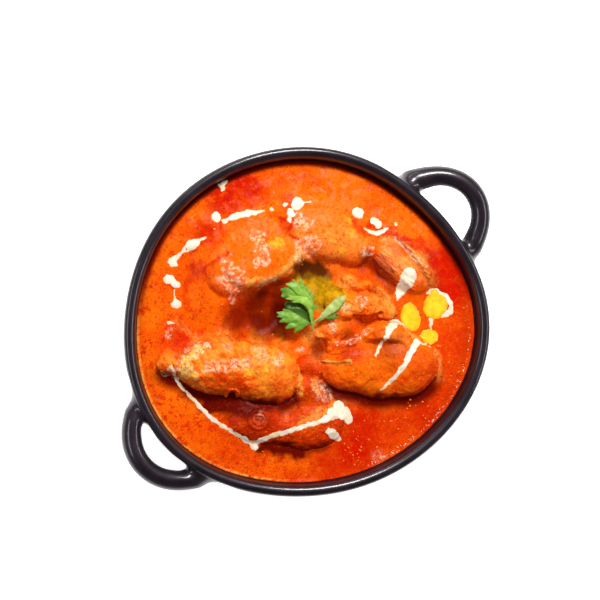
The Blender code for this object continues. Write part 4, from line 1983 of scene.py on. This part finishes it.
@dataclass(frozen=True)
class Leaflet:
    """One leaflet: the veins its lobes spread round, how it lies, and its tones."""

    veins: tuple[Trail, ...]
    joint: tuple[float, float, float]
    lift: float
    droop: float
    roll: float = 0.0
    sunlit: float = 0.5
    shaded: float = 0.0
    pale_and_glare: float = 0.0
    cell: float = 0.2
    blade: float = 0.16

    def build(self) -> bpy.types.Object:
        """Spread the lobes round the veins and thin them to a curved blade.

        Returns:
            The leaflet with its painted shares.
        """
        obj = fuse([vein.blank() for vein in self.veins], "leaflet")
        shape(obj, "REMESH", mode="VOXEL", voxel_size=self.cell * MM, use_smooth_shade=True)
        shape(obj, "SMOOTH", iterations=3, factor=0.5)
        points = points_of(obj)
        points[:, 0] += 0.3 * cloudy(points * (1, 1, 0), 1.5, 4.0, 2)
        points[:, 1] += 0.3 * cloudy(points * (1, 1, 0), 1.5, 9.0, 2)
        swell = np.abs(points[:, 2])
        side = np.sign(points[:, 2]) * self.blade * np.clip(swell / 0.4, 0, 1)
        x, y, base = self.joint
        out = np.hypot(points[:, 0] - x, points[:, 1] - y) / 20
        crinkle = 0.5 * cloudy(points * (1, 1, 0), 4.0, 1.7, 2) * np.clip(out * 3, 0, 1)
        tilt = self.roll * ((points[:, 0] - x) * 0.63 - (points[:, 1] - y) * 0.78)
        bulge = 0.32 * np.minimum(swell, 2.2)
        points[:, 2] = base + self.lift * out - self.droop * out * out + crinkle + tilt + bulge + side
        set_points(obj, points)
        paint(obj, "vein", smooth_step((swell - 1.0) / 0.9) * (1 - 0.85 * self.shaded))
        paint(obj, "sunlit", self.sunlit * (0.6 + 0.4 * smooth_step(swell / 1.4)))
        paint(obj, "shaded", np.full(len(points), self.shaded) * smooth_step(2.4 - swell * 0.4))
        paint(obj, "pale_and_glare", np.full(len(points), self.pale_and_glare))
        return obj


LEAFLETS = (
    Leaflet(
        (
            Trail((
                (1.0, -1.5, 0.3), (4.2, 3.1, 1.3), (6.0, 7.0, 2.4), (6.5, 11.2, 2.8), (7.7, 14.8, 1.6),
                (9.4, 17.4, 1.2), (10.4, 20.0, 0.4),
            )),
            Trail(((4.8, 4.6, 1.2), (6.8, 4.6, 1.1), (8.8, 4.0, 0.3))),
            Trail(((6.3, 8.6, 1.8), (8.6, 9.0, 1.7), (10.6, 8.6, 0.6))),
            Trail(((6.8, 11.0, 1.8), (9.0, 11.6, 1.6), (10.9, 11.4, 0.5))),
            Trail(((7.0, 12.4, 1.6), (9.4, 13.8, 1.2), (10.8, 14.3, 0.3))),
            Trail(((6.6, 12.2, 2.2), (6.2, 16.2, 2.2), (5.0, 19.4, 1.5), (3.4, 21.6, 0.5))),
            Trail(((6.3, 15.8, 1.6), (6.8, 18.8, 1.2), (7.2, 21.2, 0.4))),
        ),
        (1.0, -1.5, 52.6), lift=3.4, droop=1.6, roll=0.05, sunlit=0.5,
    ),
    Leaflet(
        (
            Trail(((5.8, 12.6, 2.0), (3.4, 16.6, 2.1), (1.6, 19.0, 1.6), (0.0, 21.0, 0.5))),
            Trail(((4.6, 13.6, 1.8), (1.6, 17.0, 1.9), (-0.6, 19.2, 0.6))),
            Trail(((3.6, 14.6, 1.3), (0.6, 16.8, 1.5), (-1.8, 18.4, 0.5))),
        ),
        (1.0, -1.5, 52.9), lift=1.6, droop=1.4, roll=0.02, sunlit=0.2, shaded=0.1,
    ),
    Leaflet(
        (
            Trail(((5.8, 8.6, 2.2), (3.6, 12.2, 1.7), (1.4, 14.6, 1.1), (-1.4, 16.2, 0.25))),
            Trail(((2.9, 12.8, 0.9), (1.7, 14.8, 0.8), (0.6, 16.8, 0.25))),
            Trail(((4.0, 10.4, 1.1), (1.9, 12.2, 0.8), (0.0, 13.2, 0.25))),
            Trail(((1.0, -1.5, 0.35), (3.8, 2.8, 0.9), (5.4, 6.6, 1.4), (5.8, 9.0, 1.6))),
        ),
        (1.0, -1.5, 53.3), lift=4.2, droop=2.0, sunlit=1.0,
    ),
    Leaflet(
        (
            Trail((
                (1.6, -0.6, 0.8), (1.0, 4.6, 3.2), (-0.2, 9.0, 3.8), (-1.8, 12.6, 2.4), (-2.2, 14.8, 0.7),
            )),
            Trail(((2.4, 3.6, 1.6), (3.4, 8.0, 2.2), (3.2, 11.6, 1.2))),
        ),
        (1.0, -1.5, 52.0), lift=-0.6, droop=0.6, sunlit=0.0, shaded=1.0,
    ),
    Leaflet(
        (
            Trail((
                (1.2, -1.3, 0.4), (-2.0, 4.8, 1.9), (-4.6, 9.2, 2.0), (-6.8, 11.8, 1.3),
                (-8.4, 13.6, 0.4),
            )),
            Trail(((-4.4, 9.0, 1.6), (-7.4, 10.8, 1.2), (-9.4, 12.0, 0.3))),
            Trail(((-2.6, 5.2, 1.7), (-6.0, 7.4, 1.6), (-8.4, 8.8, 1.1), (-10.1, 9.6, 0.3))),
            Trail(((-0.8, 1.6, 1.2), (-5.4, 3.8, 1.6), (-7.8, 4.8, 1.3), (-9.8, 5.3, 0.4))),
            Trail(((-0.6, 0.6, 1.0), (-4.4, 1.3, 1.4), (-6.2, 1.3, 1.0), (-7.6, 0.8, 0.3))),
            Trail(((-2.4, 6.8, 1.4), (-3.9, 10.6, 1.3), (-5.2, 13.2, 0.3))),
        ),
        (1.0, -1.5, 52.3), lift=-0.4, droop=1.2, roll=-0.04, sunlit=0.3,
    ),
    # The right leaflet is painted pale for the glare off it.
    Leaflet(
        (
            Trail((
                (4.6, -1.8, 0.6), (8.4, -1.7, 1.5), (12.4, -1.5, 2.2), (16.2, -1.4, 2.4),
                (19.4, -1.4, 1.5), (21.6, -1.6, 0.5),
            )),
            Trail(((17.8, -1.2, 1.4), (20.6, -0.9, 0.9), (22.6, -1.1, 0.3))),
            Trail(((16.0, -0.6, 1.4), (18.2, 0.4, 0.9), (19.8, 1.2, 0.3))),
        ),
        (4.6, -1.8, 51.8), lift=2.4, droop=0.8, roll=-0.02, sunlit=0.6, pale_and_glare=0.9,
    ),
    Leaflet(
        (
            Trail(((8.6, -2.8, 0.8), (10.8, -4.9, 1.1), (13.6, -6.9, 0.4))),
            Trail(((10.2, -4.2, 0.8), (12.6, -4.6, 0.8), (14.6, -5.2, 0.3))),
        ),
        (8.6, -2.8, 52.0), lift=-1.5, droop=0.4, sunlit=0.25, shaded=0.2,
    ),
)
STALK = (
    Trail(((6.4, -1.8, 0.35), (4.4, -1.0, 0.5), (1.8, -1.3, 0.6), (0.8, -2.2, 0.5), (0.2, -4.2, 0.4))),
    Trail(((8.6, -2.6, 0.3), (6.4, -1.8, 0.35), (4.4, -1.0, 0.4))),
)


@dataclass
class Coriander:
    """The sprig in the middle: leaflets that spread from one joint, and a bit of stalk."""

    leaflets: tuple[Leaflet, ...] = LEAFLETS
    stalk: tuple[Trail, ...] = STALK
    stalk_height: float = 52.4

    def build(self) -> None:
        """Model the sprig and lay it in the middle."""
        stalk = fuse([trail.blank() for trail in self.stalk], "stalk")
        points = points_of(stalk)
        points[:, 2] += self.stalk_height
        set_points(stalk, points)
        for name, value in (("vein", 0.3), ("sunlit", 0.4), ("shaded", 0.2), ("pale_and_glare", 0.3)):
            paint(stalk, name, np.full(len(points), value))
        sprig = fuse([leaflet.build() for leaflet in self.leaflets] + [stalk], "coriander_leaves")
        serve(sprig, CorianderLeaf().make(), Slot.CORIANDER, "coriander_sprig")


# ---------------------------------------------------------------------------------------------
# Ground spice
# ---------------------------------------------------------------------------------------------


@dataclass
class Scatter:
    """Small bits that float in the gravy: how many, how big, and where they lie thickest."""

    name: str
    finish: GroundSpice | PlainCoat
    count: int
    half_size: tuple[float, float]
    places: tuple[Patch, ...]
    elsewhere: float = 0.12
    flat: float = 0.45
    headings: tuple[float, float] = (0.0, 360.0)
    reach: tuple[float, float] = (0.0, 1.0)
    seed: int = 41
    off_wall: float = 0.5

    def bit(self) -> bpy.types.Object:
        """Chip one bit of a few faces.

        Returns:
            The bit, a millimetre in radius.
        """
        let_go()
        bpy.ops.mesh.primitive_ico_sphere_add(subdivisions=1, radius=1 * MM)
        obj = bpy.context.object
        bpy.ops.object.mode_set(mode="EDIT")
        bpy.ops.mesh.select_all(action="SELECT")
        bpy.ops.transform.resize(value=(1.0, 0.7, self.flat))
        cut = {"plane_co": (0.55 * MM, 0, 0), "plane_no": (1, 0.3, 0.2)}
        bpy.ops.mesh.bisect(**cut, clear_outer=True, use_fill=True)
        bpy.ops.object.mode_set(mode="OBJECT")
        return obj

    def build(self, surface: Surface) -> None:
        """Scatter the bits.

        Args:
            surface: the top of the curry.
        """
        rng = random.Random(self.seed)
        bit = self.bit()
        bits = []
        while len(bits) < self.count:
            angle = math.radians(rng.uniform(*self.headings))
            share = math.sqrt(rng.uniform(self.reach[0] ** 2, self.reach[1] ** 2))
            reach = share * (GRAVY_RADIUS - self.off_wall + LIP_RADIUS * float(wave(np.array(angle))))
            spot = np.array([[reach * math.cos(angle), reach * math.sin(angle), 0.0]])
            thick = float(share_of(self.places, spot)[0])
            if rng.random() > self.elsewhere + (1 - self.elsewhere) * thick:
                continue
            size = rng.uniform(*self.half_size) * (1.6 if rng.random() < 0.06 else 1)
            copy = bit.copy()
            copy.data = bit.data.copy()
            bpy.context.scene.collection.objects.link(copy)
            copy.location = (spot[0, 0] * MM, spot[0, 1] * MM, float(surface.at(spot)[0]) * MM)
            copy.rotation_euler = (rng.uniform(-0.4, 0.4), rng.uniform(-0.4, 0.4), rng.uniform(0, 6.3))
            copy.scale = (size, size, size)
            bits.append(copy)
        bpy.data.objects.remove(bit)
        serve(fuse(bits, self.name), self.finish.make(), Slot.GRAVY)


PIP_PLACES = (Patch(-14, -66, 13), Patch(12, -70, 11), Patch(40, -60, 12, 0.7), Patch(-40, -56, 10, 0.4))


@dataclass
class Bits:
    """The ground spice, the pips of curd and tomato, and the bright bubbles by the near wall, partly
    painted glints.
    """

    def build(self, surface: Surface) -> None:
        """Scatter each kind.

        Args:
            surface: the top of the curry.
        """
        Scatter("ground_spice", GroundSpice(), 1300, (0.13, 0.34), SPICY).build(surface)
        curd = PlainCoat("curd_pips", (1.0, 0.2, 0.01), (1.0, 0.12, 0.002), (1.0, 0.2, 0.01), 0.25, 0.03)
        Scatter("curd_pips", curd, 90, (0.35, 0.95), PIP_PLACES, 0.02, 0.5, seed=43).build(surface)
        # Pale bubbles along the near wall: partly bubbles, partly painted glints on the wet edge.
        bubble_glints = PlainCoat("bubbles_and_glints", (1.0, 0.82, 0.66), (1.0, 0.62, 0.36), (1.0, 0.8, 0.6), 0.1, 0.02)
        by_the_wall = (Patch(10, -80, 26), Patch(50, -66, 22, 0.8))
        Scatter(
            "bubbles_and_glints", bubble_glints, 110, (0.16, 0.42), by_the_wall, 0.05, 0.7,
            (255.0, 345.0), (0.975, 0.998), 47,
        ).build(surface)


# ---------------------------------------------------------------------------------------------
# The table and the light
# ---------------------------------------------------------------------------------------------


@dataclass(frozen=True)
class Softbox:
    """A soft light: its heading and height over the dish in degrees, distance, size and power."""

    name: str
    heading: float
    elevation: float
    distance: float
    size: tuple[float, float]
    power: float
    tint: Colour = (1.0, 1.0, 1.0)

    def hang(self, aim: Vector) -> None:
        """Hang the light and turn it to the dish.

        Args:
            aim: the middle of what it lights.
        """
        lamp = bpy.data.lights.new(self.name, "AREA")
        lamp.shape = "RECTANGLE"
        lamp.size, lamp.size_y = self.size
        lamp.energy = self.power
        lamp.color = self.tint
        obj = bpy.data.objects.new(self.name, lamp)
        bpy.context.scene.collection.objects.link(obj)
        turn, rise = math.radians(self.heading), math.radians(self.elevation)
        way = Vector((math.cos(turn) * math.cos(rise), math.sin(turn) * math.cos(rise), math.sin(rise)))
        obj.location = aim + way * self.distance
        obj.rotation_euler = (-way).to_track_quat("-Z", "Y").to_euler()


@dataclass
class Studio:
    """A pale table, soft light from the far side, and the camera above the near side."""

    softboxes: tuple[Softbox, ...] = (
        Softbox("far_lamp", 42, 52, 0.8, (0.24, 0.18), 7.0, (1.0, 0.99, 0.97)),
        Softbox("far_window", 72, 17, 0.9, (0.6, 0.14), 1.1, (0.95, 0.92, 1.0)),
        Softbox("left_window", 143, 44, 0.95, (0.6, 0.14), 2.3, (0.95, 0.91, 1.0)),
        Softbox("right_window", -36, 40, 0.95, (0.6, 0.1), 2.4, (0.96, 0.92, 1.0)),
    )
    aim: Vector = field(default_factory=lambda: BOWL_CENTRE + Vector((4.0, 11.3, 53.0)) * MM)
    camera_heading: float = 145.0
    camera_tilt: float = 10.5
    camera_distance: float = 0.7
    lens: float = 89.0
    sensor: float = 36.0
    wall_tone: tuple[float, float, float, float] = (0.95, 0.95, 0.97, 1)
    ceiling_tone: tuple[float, float, float, float] = (0.1, 0.1, 0.11, 1)
    sky_strength: float = 0.17

    def lay_table(self) -> None:
        """A wide matt white table."""
        let_go()
        bpy.ops.mesh.primitive_plane_add(size=6, location=(0, 0, -0.05 * MM))
        table = bpy.context.object
        table.name = "table"
        bench = Bench("white_table")
        pale = bench.mix(bench.noise(40, 2), (0.93, 0.93, 0.93), (0.9, 0.9, 0.9))
        glow = {"Emission_Color": (1.0, 1.0, 1.0), "Emission_Strength": 0.8}
        table.data.materials.append(bench.done(Base_Color=pale, Roughness=0.9, **glow))

    def fill_sky(self) -> None:
        """A dim room overhead that grows pale towards the walls."""
        world = bpy.data.worlds.new("room")
        bpy.context.scene.world = world
        world.use_nodes = True
        nodes, links = world.node_tree.nodes, world.node_tree.links
        way = nodes.new("ShaderNodeTexCoord")
        split = nodes.new("ShaderNodeSeparateXYZ")
        rise = nodes.new("ShaderNodeMapRange")
        blend = nodes.new("ShaderNodeMix")
        blend.data_type = "RGBA"
        rise.inputs["From Min"].default_value = 0.25
        rise.inputs["From Max"].default_value = 0.85
        blend.inputs[MIX_FIRST].default_value = self.wall_tone
        blend.inputs[MIX_SECOND].default_value = self.ceiling_tone
        links.new(way.outputs["Generated"], split.inputs[0])
        links.new(split.outputs["Z"], rise.inputs["Value"])
        links.new(rise.outputs["Result"], blend.inputs[0])
        links.new(blend.outputs[MIX_RESULT], nodes["Background"].inputs["Color"])
        nodes["Background"].inputs["Strength"].default_value = self.sky_strength

    def set_camera(self) -> None:
        """Stand the camera over the near side of the bowl."""
        data = bpy.data.cameras.new("camera")
        data.lens = self.lens
        data.sensor_width = self.sensor
        data.clip_start = 0.01
        camera = bpy.data.objects.new("camera", data)
        bpy.context.scene.collection.objects.link(camera)
        tilt, heading = math.radians(self.camera_tilt), math.radians(self.camera_heading)
        lean = math.sin(tilt)
        way = Vector((lean * math.cos(heading), lean * math.sin(heading), math.cos(tilt)))
        camera.location = self.aim + way * self.camera_distance
        far = math.radians(FAR_HEADING)
        up = Vector((math.cos(far), math.sin(far), 0))
        back = way.normalized()
        right = up.cross(back).normalized()
        camera.rotation_euler = Matrix((right, back.cross(right), back)).transposed().to_euler()
        bpy.context.scene.camera = camera

    def build(self) -> None:
        """Set the table, the light and the camera."""
        self.lay_table()
        self.fill_sky()
        for softbox in self.softboxes:
            softbox.hang(self.aim)
        self.set_camera()
        bpy.context.scene.view_settings.view_transform = "Standard"


def main() -> None:
    """Model the dish from the bowl up, then light it."""
    logging.basicConfig(level=logging.INFO, format="%(name)s %(message)s")
    Studio().build()
    StonewareBowl().build()
    chicken, gravy = Chicken(), Gravy()
    chicken.build()
    gravy.build()
    surface = Surface([gravy.made, *chicken.made])
    for obj in (gravy.made, *chicken.made):
        stir_in(obj, obj.get("stands_for", ""))
    gravy.dress()
    chicken.dress()
    Toppings().build(surface)
    Coriander().build()
    Bits().build(surface)


if __name__ == "__main__":
    main()
